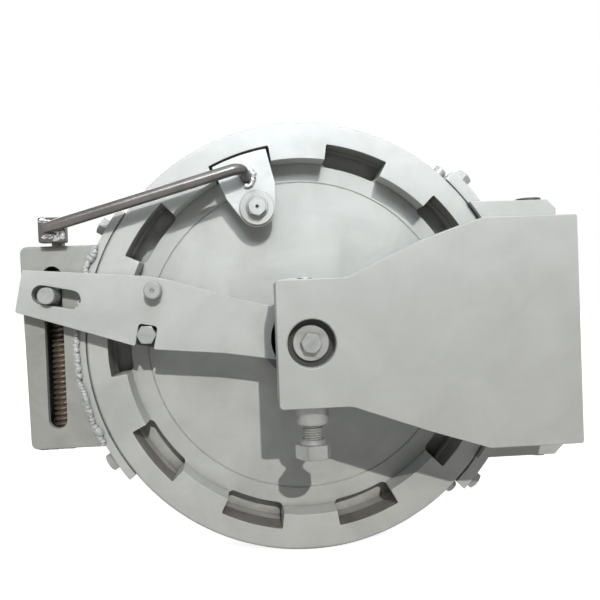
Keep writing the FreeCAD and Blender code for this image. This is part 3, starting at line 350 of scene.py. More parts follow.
class ClosureFinish(bpy.types.PropertyGroup):
    """Colours of the finishes, linear"""
    paint: colour("Paint", "Silver grey machinery paint", (0.478, 0.484, 0.462))
    # A lighter copy of the paint for the interlock plate: a painted highlight where it catches more light.
    interlock_lit_colour: colour("Interlock paint", "Cleaner paint of the interlock plate", (0.58, 0.585, 0.57))
    box_paint: colour("Box paint", "The same paint, dirtier, on the screw box", (0.33, 0.33, 0.305))
    steel: colour("Steel", "Bare dark steel", (0.10, 0.095, 0.092))
    rod: colour("Rod", "Scaled steel of the rod", (0.135, 0.126, 0.12))
    bolt: colour("Bolt", "Painted fasteners", (0.36, 0.365, 0.35))
    cavity: colour("Cavity", "Dirty paint behind the teeth", (0.42, 0.42, 0.40))
    root: colour("Root", "Bare flame-cut notch roots", (0.19, 0.178, 0.162))
    rust: colour("Rust", "Brown rust in pits and notches", (0.095, 0.068, 0.05))
    # Near-black colour: painted shade in corners, recesses and under the lever, mixed with real dirt in the
    # corners.
    shade_and_smudge: colour("Grime", "Dirt in the corners", (0.06, 0.058, 0.055))
    thread: colour("Thread", "Oiled and rusty screw thread", (0.18, 0.15, 0.118))
    bronze: colour("Bronze", "Bearing bronze", (0.42, 0.27, 0.11))
    rubber: colour("Rubber", "Door seal", (0.012, 0.012, 0.012))
    weld: colour("Weld", "Painted weld metal", (0.50, 0.51, 0.50))
    silver: colour("Weld metal", "Bare weld metal at the rod", (0.50, 0.50, 0.49))
    # Light metal colour laid on convex edges: partly wear, partly a painted highlight along the edges.
    highlight_and_scuff_metal: colour("Bare", "Metal at worn edges", (0.66, 0.66, 0.65))


MATERIALS = {}


def spread(first, last, steps):
    """Even values from the first to the last."""
    return [first + (last - first) * step / steps for step in range(steps + 1)]


def turns(steps):
    """Even turns once round a circle."""
    return [math.tau * step / steps for step in range(steps)]


def polar(radius, turn, height=0.0):
    """A point at a radius and turn about the Z axis."""
    return Vector((radius * math.cos(turn), radius * math.sin(turn), height))


def around(radius, depth, turn):
    """A point at a radius and turn seen from the front, at a depth behind the hub face."""
    return Vector((radius * math.cos(turn), FACE_Y + depth, radius * math.sin(turn)))


def line(start, end, steps):
    """Even points along a straight line."""
    return [start.lerp(end, share) for share in spread(0.0, 1.0, steps)]


def facing(x, depth, z, turn=0.0):
    """A place whose own Z axis points out of the front, turned anticlockwise as seen."""
    out = Matrix(((1, 0, 0), (0, 0, -1), (0, 1, 0))).to_4x4()
    return Matrix.Translation((x, FACE_Y + depth, z)) @ out @ Matrix.Rotation(turn, 4, "Z")


def outward(radius, depth, turn):
    """A place on the rim whose own Z axis points away from the centre."""
    return Matrix.Translation(around(radius, depth, turn)) @ Matrix.Rotation(math.pi / 2 - turn, 4, "Y")


def upright(x, depth, z, down=False):
    """A place whose own Z axis points up, or down."""
    return Matrix.Translation((x, FACE_Y + depth, z)) @ Matrix.Rotation(math.pi if down else 0.0, 4, "X")


def grid(columns, loop=True, ring=True):
    """Faces between neighbouring columns of points: loop closes the turn, ring closes each column."""
    rows = len(columns[0])
    points = [point for column in columns for point in column]
    faces = []
    for index in range(len(columns) if loop else len(columns) - 1):
        here = index * rows
        there = (index + 1) % len(columns) * rows
        for row in range(rows if ring else rows - 1):
            after = (row + 1) % rows
            faces.append((here + row, here + after, there + after, there + row))
    return points, faces


def joined(shapes):
    """Several shapes as one."""
    points, faces = [], []
    for more_points, more_faces in shapes:
        start = len(points)
        points += more_points
        faces += [tuple(start + number for number in face) for face in more_faces]
    return points, faces


def moved(shape, place):
    """A shape taken to its place."""
    return [place @ point for point in shape[0]], shape[1]


def turned(profile, steps, place):
    """A turned shape about its own Z axis: the profile holds radius and height pairs."""
    return moved(grid([[polar(radius, turn, height) for radius, height in profile] for turn in turns(steps)]),
                 place)


def disc(inner, outer, height, place, steps=64):
    """A washer, collar, pin or shank, with its rims broken."""
    return turned([(inner, 0), (outer - SOFT, 0), (outer, SOFT), (outer, height - SOFT),
                   (outer - SOFT, height), (inner, height)], steps, place)


def hexagon(flats, height, place, inside=((0.0, 1.0),)):
    """A hexagon with its top corners turned off.

    Inside lists radius and share of the height for what is drilled in its top, from the top down.
    """
    face = HEX_FACE * flats / 2
    columns = []
    for turn in turns(HEX_STEPS):
        side = (turn + math.pi / 6) % (math.pi / 3) - math.pi / 6
        reach = flats / 2 / math.cos(side)
        drop = (reach - face) * HEX_SLOPE
        ring = [(inside[-1][0], 0.0), (reach, 0.0), (reach, height - drop), (face, height)]
        ring += [(radius, share * height) for radius, share in inside]
        columns.append([polar(radius, turn, z) for radius, z in ring])
    return moved(grid(columns), place)


def softened(corners, steps=5):
    """An outline whose corners, given as x, y and radius, are rounded with arcs."""
    points = []
    for index, (x, y, radius) in enumerate(corners):
        here = Vector((x, y))
        back = Vector(corners[index - 1][:2]) - here
        ahead = Vector(corners[(index + 1) % len(corners)][:2]) - here
        turn = back.angle(ahead)
        if radius <= 0 or turn > math.pi - 0.01:
            points.append(here)
            continue
        setback = min(radius / math.tan(turn / 2), 0.48 * back.length, 0.48 * ahead.length)
        radius = setback * math.tan(turn / 2)
        inward = (back.normalized() + ahead.normalized()).normalized()
        middle = here + inward * (radius / math.sin(turn / 2))
        first = here + back.normalized() * setback - middle
        last = here + ahead.normalized() * setback - middle
        for sweep in spread(0.0, -first.angle_signed(last), steps):
            points.append(middle + Matrix.Rotation(sweep, 2) @ first)
    return points


def rectangle(left, low, right, high, radius=0.0):
    """An upright rectangle with rounded corners."""
    return softened([(left, low, radius), (right, low, radius), (right, high, radius), (left, high, radius)])


def circle(x, y, radius, steps=64, first=0.0, sweep=math.tau):
    """Points round a circle, or along part of one."""
    angles = spread(first, first + sweep, steps)
    if sweep == math.tau:
        angles.pop()
    return [Vector((x, y)) + polar(radius, turn).to_2d() for turn in angles]


def stadium(x0, x1, y, radius, steps=14):
    """A long hole lying along X."""
    return (circle(x1 - radius, y, radius, steps, -math.pi / 2, math.pi)
            + circle(x0 + radius, y, radius, steps, math.pi / 2, math.pi))


def plate(outline, holes, thickness, edge, place):
    """A flat plate from Z 0 to its thickness, with every edge rounded."""
    curve = bpy.data.curves.new("plate", "CURVE")
    curve.dimensions = "2D"
    curve.fill_mode = "BOTH"
    curve.extrude = thickness / 2 - edge
    curve.bevel_depth = edge
    curve.bevel_resolution = 2
    curve.offset = -edge
    for loop in [outline] + list(holes):
        spline = curve.splines.new("POLY")
        spline.points.add(len(loop) - 1)
        for point, here in zip(spline.points, loop):
            point.co = (here.x, here.y, 0, 1)
        spline.use_cyclic_u = True
    holder = bpy.data.objects.new("plate", curve)
    mesh = bpy.data.meshes.new_from_object(holder)
    lift = place @ Matrix.Translation((0, 0, thickness / 2))
    points = [vertex.co for vertex in mesh.vertices]
    shape = moved((points, [tuple(face.vertices) for face in mesh.polygons]), lift)
    bpy.data.objects.remove(holder)
    bpy.data.curves.remove(curve)
    bpy.data.meshes.remove(mesh)
    return shape


def thread(radius, depth, pitch, low, high, place, across=36):
    """A screwed rod along Z, as a fine grid whose radius follows the thread."""
    rows = max(4, int((high - low) / pitch * THREAD_ROWS))
    columns = []
    for index, turn in enumerate(turns(across)):
        column = [Vector((0, 0, low))]
        for height in spread(low, high, rows):
            phase = (height / pitch - index / across) % 1.0
            crest = min(1.0, 1.4 * (1.0 - abs(2.0 * phase - 1.0)))
            ending = min(1.0, (height - low) / pitch, (high - height) / pitch)
            column.append(polar(radius - depth + depth * crest * ending, turn, height))
        columns.append(column + [Vector((0, 0, high))])
    return moved(grid(columns), place)


def tube(path, radii, across=20):
    """A round bar along a path of points, with a radius at each, and closed ends."""
    columns = [[path[0].copy() for _ in range(across)]]
    side = None
    for index, point in enumerate(path):
        ahead = (path[min(index + 1, len(path) - 1)] - path[max(index - 1, 0)]).normalized()
        if side is None:
            side = ahead.cross(Vector((0, 0, 1)) if abs(ahead.z) < 0.9 else Vector((1, 0, 0)))
        side = (side - ahead * side.dot(ahead)).normalized()
        top = side.cross(ahead)
        columns.append([point + (side * math.cos(turn) + top * math.sin(turn)) * radii[index]
                        for turn in turns(across)])
    columns.append([path[-1].copy() for _ in range(across)])
    return grid(columns, loop=False)


def walk(path, along):
    """The point a distance along a path."""
    for here, there in zip(path, path[1:]):
        step = (there - here).length
        if along <= step:
            return here.lerp(there, along / step if step else 0.0)
        along -= step
    return path[-1].copy()


def bead(path, radius, ripple, seed=0.0, rough=0.5):
    """A hand-laid weld bead: a lumpy, rippled ridge along a path."""
    total = sum((there - here).length for here, there in zip(path, path[1:]))
    count = max(8, int(total / ripple * 6))
    shift = Vector((seed, 2 * seed, 3 * seed))
    points, radii = [], []
    for along in spread(0.0, total, count):
        point = walk(path, along)
        broad = noise.noise(point * 90 + shift)
        fine = noise.noise(point * 420 + shift)
        wave = abs(math.sin(math.pi * (along / ripple + 0.8 * broad)))
        points.append(point + Vector((fine, 0.4 * broad, broad)) * radius * rough)
        radii.append(radius * (0.72 + 0.2 * wave + rough * (0.7 * broad + 0.5 * fine)))
    radii[0] *= 0.4
    radii[-1] *= 0.4
    return tube(points, radii, across=12)


def lump(centre, reach, seed, rough=0.5, across=18, rows=12):
    """A blob of weld metal."""
    columns = []
    for turn in turns(across):
        column = []
        for tilt in spread(0.0, math.pi, rows):
            out = polar(math.sin(tilt), turn, math.cos(tilt))
            swell = 1.0 + rough * noise.noise(out * 1.9 + Vector((seed, 0, 0)))
            column.append(centre + out * Vector(reach) * swell)
        columns.append(column)
    return grid(columns, ring=False)


def band(inner, outer, front, back, first, last, steps=60):
    """A closed piece of a ring between two angles."""
    corners = ((inner, front), (outer, front), (outer, back), (inner, back))
    columns = [[around(radius, depth, turn) for radius, depth in corners]
               for turn in spread(first, last, steps)]
    points, faces = grid(columns, loop=False)
    return points, faces + [(3, 2, 1, 0), tuple(range(4 * steps, 4 * steps + 4))]


def make_mesh(name, shape):
    """A mesh object of a shape, with doubled points merged and its faces turned outwards."""
    mesh = bpy.data.meshes.new(name)
    mesh.from_pydata([tuple(point) for point in shape[0]], [], shape[1])
    work = bmesh.new()
    work.from_mesh(mesh)
    bmesh.ops.remove_doubles(work, verts=work.verts, dist=2e-6)
    bmesh.ops.dissolve_degenerate(work, dist=1e-6, edges=work.edges)
    bmesh.ops.recalc_face_normals(work, faces=work.faces)
    work.to_mesh(mesh)
    work.free()
    holder = bpy.data.objects.new(name, mesh)
    bpy.context.scene.collection.objects.link(holder)
    return holder


def apply_modifiers(holder):
    """Keep what the modifiers make, and drop the modifiers."""
    bpy.context.view_layer.update()
    graph = bpy.context.evaluated_depsgraph_get()
    mesh = bpy.data.meshes.new_from_object(holder.evaluated_get(graph))
    old = holder.data
    holder.modifiers.clear()
    holder.data = mesh
    bpy.data.meshes.remove(old)


def bevelled(holder, width):
    """Round every sharp edge of a mesh."""
    modifier = holder.modifiers.new("edges", "BEVEL")
    modifier.width = width
    modifier.segments = 2
    modifier.limit_method = "ANGLE"
    modifier.angle_limit = BEVEL_LIMIT
    modifier.use_clamp_overlap = False
    apply_modifiers(holder)
    return holder


def carved(holder, cutters):
    """Cut closed shapes out of a mesh."""
    for shape in cutters:
        tool = make_mesh("cutter", shape)
        modifier = holder.modifiers.new("cut", "BOOLEAN")
        modifier.object = tool
        modifier.solver = "EXACT"
        apply_modifiers(holder)
        bpy.data.objects.remove(tool)
    return holder


def piece(holder, body, finish, nodes=(), smooth=30):
    """Finish a mesh: its material, its body and the nodes that it stands for."""
    holder.data.materials.clear()
    holder.data.materials.append(MATERIALS[finish])
    for face in holder.data.polygons:
        face.use_smooth = True
        face.material_index = 0
    holder.data.set_sharp_from_angle(angle=math.radians(smooth))
    if smooth < ALL_ROUND:
        flatten = holder.modifiers.new("flat_faces", "WEIGHTED_NORMAL")
        flatten.weight = 100
        flatten.keep_sharp = True
    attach(holder, body)
    if nodes:
        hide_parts(*nodes)
    return holder


def fastener(name, shape, body, node):
    """A bolt, nut, washer or stud that stands for a node."""
    piece(make_mesh(name, shape), body, "bolt finish", [node])


def weld_metal(name, shape, body, finish):
    """Weld metal that no node has."""
    piece(make_mesh(name, shape), body, finish, smooth=60)


def finish_where(holder, finish, chosen):
    """Give the faces that a test picks, by radius, depth and middle, a finish of their own."""
    holder.data.materials.append(MATERIALS[finish])
    index = len(holder.data.materials) - 1
    for face in holder.data.polygons:
        middle = face.center
        if chosen(math.hypot(middle.x, middle.z), middle.y - FACE_Y, middle):
            face.material_index = index


def feed(tree, socket, value):
    """Link another node's output to a socket, or set the socket's own value."""
    if isinstance(value, bpy.types.NodeSocket):
        tree.links.new(value, socket)
    elif socket.type == "RGBA":
        socket.default_value = (*value[:3], 1.0)
    else:
        socket.default_value = value


def add_node(tree, kind, settings=None, **sockets):
    """Add a shader node with its settings; sockets take values or other nodes' outputs."""
    node = tree.nodes.new(kind)
    for name, value in (settings or {}).items():
        setattr(node, name, value)
    for name, value in sockets.items():
        feed(tree, node.inputs[name.replace("_", " ")], value)
    return node


def calculate(tree, operation, first, second, clamp=False):
    """One sum of two values."""
    node = add_node(tree, "ShaderNodeMath", {"operation": operation, "use_clamp": clamp})
    for socket, value in zip(node.inputs, (first, second)):
        feed(tree, socket, value)
    return node.outputs[0]


def blend_colour(tree, factor, first, second):
    """One colour laid over another by a mask."""
    node = add_node(tree, "ShaderNodeMix", {"data_type": "RGBA"})
    for number, value in ((0, factor), (6, first), (7, second)):
        feed(tree, node.inputs[number], value)
    return node.outputs[2]


def stretch(tree, value, low, high, new_low=0.0, new_high=1.0):
    """A value brought from one range to another."""
    return add_node(tree, "ShaderNodeMapRange", None, Value=value, From_Min=low, From_Max=high,
                    To_Min=new_low, To_Max=new_high).outputs["Result"]


def noise_value(tree, place, scale, detail=4.0, rough=0.55, warp=0.0):
    """Cloudy noise over the object."""
    return add_node(tree, "ShaderNodeTexNoise", None, Vector=place, Scale=scale, Detail=detail,
                    Roughness=rough, Distortion=warp).outputs["Fac"]


def new_group(name, inputs, outputs):
    """A shader node group: its tree, the place on the object, what goes in and what comes out."""
    tree = bpy.data.node_groups.new(name, "ShaderNodeTree")
    for socket, value in inputs.items():
        kind = "NodeSocketFloat" if isinstance(value, float) else "NodeSocketColor"
        tree.interface.new_socket(socket, in_out="INPUT", socket_type=kind).default_value = value
    for socket in outputs:
        kind = "NodeSocketColor" if socket == "Colour" else "NodeSocketFloat"
        tree.interface.new_socket(socket, in_out="OUTPUT", socket_type=kind)
    place = tree.nodes.new("ShaderNodeTexCoord").outputs["Object"]
    return tree, place, tree.nodes.new("NodeGroupInput").outputs, tree.nodes.new("NodeGroupOutput").inputs


def build_cloud_group():
    """Soft cloudy tint of sprayed paint, with faint wiped streaks."""
    tree, place, given, result = new_group(
        "Cloudy tint", {"Colour": (0.5, 0.5, 0.5, 1), "Scale": 14.0, "Depth": 0.12}, ("Colour", "Mask"))
    broad = noise_value(tree, place, given["Scale"], 5.0, 0.6, 0.6)
    squash = add_node(tree, "ShaderNodeMapping", None, Vector=place, Scale=(14.0, 60.0, 120.0))
    streak = noise_value(tree, squash.outputs[0], 1.0, 3.0, 0.6)
    faint = calculate(tree, "MULTIPLY", streak, 0.1)
    mask = calculate(tree, "ADD", calculate(tree, "MULTIPLY", broad, 0.9), faint)
    tint = stretch(tree, mask, 0.32, 0.68, -1.0, 1.0)
    gain = calculate(tree, "ADD", calculate(tree, "MULTIPLY", tint, given["Depth"]), 1.0)
    bright = add_node(tree, "ShaderNodeVectorMath", {"operation": "SCALE"}, Vector=given["Colour"],
                      Scale=gain)
    feed(tree, result["Colour"], bright.outputs[0])
    feed(tree, result["Mask"], mask)


def build_grain_group():
    """Height of a sprayed surface: fine orange peel over shallow dents."""
    tree, place, given, result = new_group(
        "Spray grain", {"Fine": 900.0, "Coarse": 90.0, "Share": 0.5}, ("Height",))
    fine = noise_value(tree, place, given["Fine"], 2.0, 0.5)
    coarse = noise_value(tree, place, given["Coarse"], 4.0, 0.55)
    height = calculate(tree, "ADD", calculate(tree, "MULTIPLY", fine, given["Share"]), coarse)
    feed(tree, result["Height"], height)


def build_corner_group(name, reach, light, dark, scale, detail, low, high, least=0.0, **settings):
    """Mask of edges, worn and with a painted highlight, or of corners with painted shade and dirt: occlusion
    from light to dark, broken up by noise.
    """
    tree, place, given, result = new_group(name, {"Reach": reach, "Amount": 1.0}, ("Mask",))
    near = add_node(tree, "ShaderNodeAmbientOcclusion", {"samples": 6, **settings}, Distance=given["Reach"])
    depth = stretch(tree, near.outputs["AO"], light, dark)
    patch = stretch(tree, noise_value(tree, place, scale, detail, 0.65), low, high, least, 1.0)
    mask = calculate(tree, "MULTIPLY", calculate(tree, "MULTIPLY", depth, patch), given["Amount"], True)
    feed(tree, result["Mask"], mask)


def build_rust_group():
    """Mask of pitted rust, from fine to patchy."""
    tree, place, given, result = new_group("Pitted rust", {"Scale": 120.0, "Amount": 0.5}, ("Mask",))
    spots = noise_value(tree, place, given["Scale"], 8.0, 0.7, 0.4)
    limit = calculate(tree, "SUBTRACT", 0.78, calculate(tree, "MULTIPLY", given["Amount"], 0.5))
    feed(tree, result["Mask"], stretch(tree, spots, limit, calculate(tree, "ADD", limit, 0.12)))


def use_group(tree, name, **values):
    """Place a shared group with its own values."""
    return add_node(tree, "ShaderNodeGroup", {"node_tree": bpy.data.node_groups[name]}, **values)


def new_material(name):
    """A material, kept under its name: its tree and its shader's sockets."""
    made = bpy.data.materials.new(name)
    made.use_nodes = True
    MATERIALS[name] = made
    return made.node_tree, made.node_tree.nodes["Principled BSDF"].inputs


def roughen(tree, shader, strength, distance, **grain):
    """Give a material the bump of its spray grain."""
    peel = use_group(tree, "Spray grain", **grain)
    bump = add_node(tree, "ShaderNodeBump", None, Height=peel.outputs["Height"], Strength=strength,
                    Distance=distance)
    feed(tree, shader["Normal"], bump.outputs["Normal"])


def paint_material(name, finish, base, cloud=0.10, highlight_and_scuffs=0.35, corner_shade_and_smudges=0.55, rust=0.0, rough=0.46, grain=0.00006):
    """Sprayed machinery paint over steel, with wear and a painted highlight at its edges, and painted shade
    and dirt in its corners.
    """
    tree, shader = new_material(name)
    tint = use_group(tree, "Cloudy tint", Colour=base, Depth=cloud)
    seen = tint.outputs["Colour"]
    if rust:
        pits = use_group(tree, "Pitted rust", Amount=rust)
        seen = blend_colour(tree, pits.outputs["Mask"], seen, finish.rust)
    # Painted shade: corners and creases darken by ambient occlusion toward near black, partly broken up as
    # dirt.
    shade_and_smudge = use_group(tree, "Corner shade and smudges", Amount=corner_shade_and_smudges)
    seen = blend_colour(tree, shade_and_smudge.outputs["Mask"], seen, finish.shade_and_smudge)
    # Painted highlight: convex edges turn a lighter, more metallic colour, partly as wear.
    edge = use_group(tree, "Edge highlight and scuffs", Amount=highlight_and_scuffs).outputs["Mask"]
    feed(tree, shader["Base Color"], blend_colour(tree, edge, seen, finish.highlight_and_scuff_metal))
    feed(tree, shader["Roughness"], stretch(tree, tint.outputs["Mask"], 0.3, 0.7, rough + 0.05, rough - 0.05))
    feed(tree, shader["Metallic"], calculate(tree, "MULTIPLY", edge, 0.8))
    roughen(tree, shader, 0.5, grain)


def steel_material(name, finish, base, rough=0.38, metallic=0.9, rust=0.25, scale=160.0):
    """Bare or thinly painted steel with fine rust."""
    tree, shader = new_material(name)
    tint = use_group(tree, "Cloudy tint", Colour=base, Scale=22.0, Depth=0.22)
    pits = use_group(tree, "Pitted rust", Scale=scale, Amount=rust).outputs["Mask"]
    seen = blend_colour(tree, pits, tint.outputs["Colour"], finish.rust)
    # Painted shade in corners and creases, by ambient occlusion, partly broken up as dirt.
    shade_and_smudge = use_group(tree, "Corner shade and smudges", Amount=0.7, Reach=0.006)
    feed(tree, shader["Base Color"], blend_colour(tree, shade_and_smudge.outputs["Mask"], seen, finish.shade_and_smudge))
    feed(tree, shader["Roughness"], stretch(tree, pits, 0.0, 1.0, rough, 0.85))
    clean = calculate(tree, "SUBTRACT", 1.0, pits, True)
    feed(tree, shader["Metallic"], calculate(tree, "MULTIPLY", clean, metallic))
    roughen(tree, shader, 0.4, 0.00008, Fine=1400.0, Coarse=220.0)


class CLOSURE_OT_materials(bpy.types.Operator):
    """Build the shared shader groups and every finish"""
    bl_idname = "closure.materials"
    bl_label = "Finishes"

    def execute(self, context):
        finish = context.scene.closure_finish
        build_cloud_group()
        build_grain_group()
        # Edge mask: lighter edges, laid as a painted highlight and wear.
        build_corner_group("Edge highlight and scuffs", 0.002, 0.75, 0.35, scale=160.0, detail=5.0, low=0.40, high=0.62,
                           inside=True, only_local=True)
        # Corner mask: occlusion darkening, laid as painted shade and dirt.
        build_corner_group("Corner shade and smudges", 0.012, 0.85, 0.25, scale=45.0, detail=6.0, low=0.30, high=0.70,
                           least=0.35)
        build_rust_group()
        # The hub paint carries the strongest painted highlight along its edges.
        paint_material("hub paint", finish, finish.paint, cloud=0.11, highlight_and_scuffs=0.9)
        paint_material("notch root", finish, finish.root, cloud=0.3, highlight_and_scuffs=0.0, corner_shade_and_smudges=0.7, rust=0.42, rough=0.7,
                       grain=0.0006)
        paint_material("cavity", finish, finish.cavity, cloud=0.25, highlight_and_scuffs=0.0, corner_shade_and_smudges=0.9, rust=0.35, rough=0.6)
        paint_material("door paint", finish, finish.paint, cloud=0.11, rough=0.5, grain=0.00009)
        paint_material("arm paint", finish, finish.paint, cloud=0.07, rough=0.5)
        # Near-black paint laid as painted shade in the arm's recess, on the pad under the lever and on the
        # centre bush.
        paint_material("recess shade", finish, finish.shade_and_smudge, cloud=0.3, highlight_and_scuffs=0.0, corner_shade_and_smudges=0.9, rough=0.7)
        paint_material("plate paint", finish, finish.paint)
        # A lighter copy of the paint: painted highlight on the interlock plate.
        paint_material("interlock lit paint", finish, finish.interlock_lit_colour, cloud=0.16)
        paint_material("box paint", finish, finish.box_paint, cloud=0.16, corner_shade_and_smudges=0.8, rust=0.08)
        paint_material("weld paint", finish, finish.weld, cloud=0.3, highlight_and_scuffs=0.1, corner_shade_and_smudges=0.8, rust=0.15, rough=0.4,
                       grain=0.0004)
        steel_material("bright weld", finish, finish.silver, rough=0.42, metallic=0.5, rust=0.2, scale=260.0)
        steel_material("bolt finish", finish, finish.bolt, rough=0.45, metallic=0.3, rust=0.12)
        steel_material("dark steel", finish, finish.steel, rough=0.34, metallic=0.85, rust=0.18)
        steel_material("rod steel", finish, finish.rod, rough=0.30, metallic=0.8, rust=0.3)
        steel_material("rusty thread", finish, finish.thread, rough=0.4, metallic=0.6, rust=0.55, scale=300.0)
        steel_material("bronze", finish, finish.bronze, rough=0.35, metallic=0.95, rust=0.05)
        steel_material("seal rubber", finish, finish.rubber, rough=0.7, metallic=0.0, rust=0.0)
        return {"FINISHED"}


def rounded_gap(half, reach, fillet):
    """Offsets across a gap at a radius, and how far its two rounded corners reach in at each."""
    near = [half - (1 - math.cos(turn)) * fillet / reach for turn in spread(0.0, math.pi / 2, 5)]
    plain = spread(near[-1], -near[-1], 10)[1:-1]
    offsets = [-value for value in near] + plain[::-1] + near[::-1]
    insets = [min(1.0, (half - abs(offset)) * reach / fillet) for offset in offsets]
    return [(offset, fillet * math.sqrt(max(0.0, 1 - (1 - inset) ** 2)))
            for offset, inset in zip(offsets, insets)]


class CLOSURE_OT_hub(bpy.types.Operator):
    """The toothed hub ring with its weld neck"""
    bl_idname = "closure.hub"
    bl_label = "Hub ring"

    def execute(self, context):
        size = context.scene.closure_hub
        base = size.notch_radius - size.notch_fillet
        floor = size.cavity_depth
        groove = floor + size.seal_depth
        end = HUB_HIGH.y - FACE_Y
        outer_seal = size.seal_inner + size.seal_width
        back = [(outer_seal, floor), (outer_seal, groove),
                (size.seal_inner, groove), (size.seal_inner, floor),
                (size.seat_radius, floor), (size.seat_radius, floor + size.seat_length),
                (size.pipe_bore, end - size.bore_length), (size.pipe_bore, end),
                (size.pipe_bore + size.weld_land, end), (size.pipe_radius, end - size.weld_bevel),
                (size.pipe_radius, end - size.neck_length), (RIM - size.rim_step, size.rim_length),
                (RIM, size.rim_length), (RIM, size.chamfer), (RIM - size.chamfer, 0)]

        def column(turn, inner, step):
            ring = [(step, 0), (inner, 0), (inner, size.tooth_depth), (step, size.tooth_depth),
                    (size.notch_radius, size.tooth_depth), (size.notch_radius, floor)]
            return [around(radius, depth, turn) for radius, depth in ring + back]

        columns = []
        for tooth in range(TEETH):
            centre = PITCH * tooth
            for offset, inset in rounded_gap(NOTCH_HALF, size.notch_radius, size.notch_fillet):
                columns.append(column(centre + offset, base + inset, base + inset))
            for turn in spread(centre + NOTCH_HALF, centre + PITCH - NOTCH_HALF, TOOTH_STEPS):
                columns.append(column(turn, size.tooth_radius, base))
        hub = bevelled(make_mesh("hub_forging", grid(columns)), size.edge)
        piece(hub, "hub", "hub paint", ["hub_ring", "hub_teeth"])
        root = base + size.notch_fillet / 5
        outside = size.notch_radius + SOFT
        finish_where(hub, "notch root", lambda radius, depth, middle:
                     root < radius < outside and SOFT < depth < size.tooth_depth)
        finish_where(hub, "cavity", lambda radius, depth, middle:
                     size.pipe_bore < radius < outside and size.tooth_depth <= depth <= groove)
        return {"FINISHED"}


class CLOSURE_OT_door(bpy.types.Operator):
    """The lugged door"""
    bl_idname = "closure.door"
    bl_label = "Door"

    def execute(self, context):
        size = context.scene.closure_door
        face = size.face_depth
        lugs_back = face + size.lug_thickness
        fillet = size.lug_fillet
        base = size.disc_radius + fillet
        half = size.groove_width / 2
        low = face + size.groove_depth
        front = [(0.0, face), (size.groove_radius - half, face), (size.groove_radius - half, low),
                 (size.groove_radius + half, low), (size.groove_radius + half, face)]
        dish = size.plug_depth - size.dish_depth
        rear = [(size.plug_radius, lugs_back), (size.plug_radius, size.plug_depth),
                (size.dish_radius, size.plug_depth), (size.dish_radius - size.dish_depth, dish), (0.0, dish)]

        def column(turn, step, reach):
            ring = [(step, face), (reach, face), (reach, lugs_back), (step, lugs_back)]
            return [around(radius, depth, turn) for radius, depth in front + ring + rear]

        columns = []
        gap_half = PITCH / 2 - LUG_HALF
        for lug in range(TEETH):
            centre = PITCH * lug
            for offset, inset in rounded_gap(gap_half, size.disc_radius, fillet):
                columns.append(column(centre + offset, base - inset, base - inset))
            for turn in spread(centre + gap_half, centre + gap_half + 2 * LUG_HALF, TOOTH_STEPS):
                columns.append(column(turn, base, size.lug_radius))
        door = bevelled(make_mesh("door_plate", grid(columns, ring=False)), size.edge)
        piece(door, "door", "door paint", ["door_cover", "door_lugs"])
        return {"FINISHED"}


def both_halves(half, rise, start=2):
    """An outline from its lower half's points; from a point on, the upper half lies higher by the rise."""
    upper = [(x, -z + (2 * rise if index >= start else 0.0), radius)
             for index, (x, z, radius) in enumerate(half)]
    return half + upper[::-1]


class CLOSURE_OT_arm(bpy.types.Operator):
    """The swing arm with its hinge barrel and its nose weld"""
    bl_idname = "closure.arm"
    bl_label = "Swing arm"

    def execute(self, context):
        size = context.scene.closure_arm
        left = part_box("swing_arm")[0].x
        rise, wall, lip = size.rise, size.wall, size.lip
        low_flare = -size.flare_half + rise
        low_full = -size.full_half + rise
        outline = softened(both_halves([
            (left, -size.nose_half, size.nose_corner), (size.neck, -size.nose_half, size.neck_fillet),
            (size.flare, low_flare, size.flare_bend), (size.full, low_full, size.full_bend),
            (size.right, low_full, size.end_corner)], rise))
        thick = size.front - size.back
        body = plate(outline, [circle(0, 0, size.bore)], thick, size.edge, facing(0, -size.back, 0))
        floor, radius = size.recess_depth, size.recess_radius
        recess = turned([(0, 0), (radius, 0), (radius, floor - lip), (radius + lip, floor),
                         (radius + lip, floor + lip), (0, floor + lip)], 72, facing(0, floor - size.front, 0))
        hollow = plate(softened(both_halves([
            (size.hollow_start, -size.hollow_half, size.hollow_corner),
            (size.flare, low_flare + wall, size.hollow_bend),
            (size.full, low_full + wall, size.hollow_bend / 2),
            (size.right - size.web, low_full + wall, size.hollow_corner)], rise, 1)),
            [], thick - size.skin + lip, size.edge, facing(0, lip - size.back, 0))
        arm = carved(make_mesh("arm_casting", body), [recess, hollow])
        piece(arm, "hub", "arm paint", ["swing_arm"])
        # The recess inside is painted near-black: painted shade of a deep recess.
        finish_where(arm, "recess shade", lambda radius, depth, middle:
                     radius < size.recess_radius - SOFT and depth > SOFT * 2 - size.front)
        self.hinge(size, low_full)
        self.nose(size, left)
        return {"FINISHED"}

    def hinge(self, size, low_full):
        """The rib inside, the web at the hinge and its barrel."""
        rise, half = size.rise, size.rib_half
        rib = plate(rectangle(size.rib_start, rise - half, size.rib_end, rise + half), [],
                    size.rib_height, SOFT, facing(0, -size.rib_back, 0))
        web = plate(rectangle(size.right - size.web, low_full, size.right, size.full_half + rise - SOFT),
                    [], size.back + size.hinge_depth, size.edge, facing(0, size.hinge_depth, 0))
        barrel = disc(size.barrel_bore, size.barrel_radius, 2 * size.barrel_half,
                      upright(size.hinge_x, size.hinge_depth, -size.barrel_half))
        piece(make_mesh("arm_hinge_web", joined([rib, web, barrel])), "hub", "arm paint")

    def nose(self, size, left):
        """The weld along the nose's top edge, with the lump where it stops."""
        corner = Vector((left, FACE_Y - size.front, size.nose_half))
        start = corner + Vector((4, 3.4, -1.6)) * MM
        seam = line(start, start + Vector((size.nose_weld, 0, 0)), 20)
        ridge = bead(seam, size.nose_bead, 6 * MM, seed=5.0, rough=0.8)
        middle = Vector((-6.5 * MM, corner.y + 14 * MM, size.nose_half))
        stop = lump(middle, Vector((10.5, 9, 2.6)) * MM, seed=3.0, rough=0.4)
        weld_metal("arm_nose_weld", joined([ridge, stop]), "hub", "weld paint")


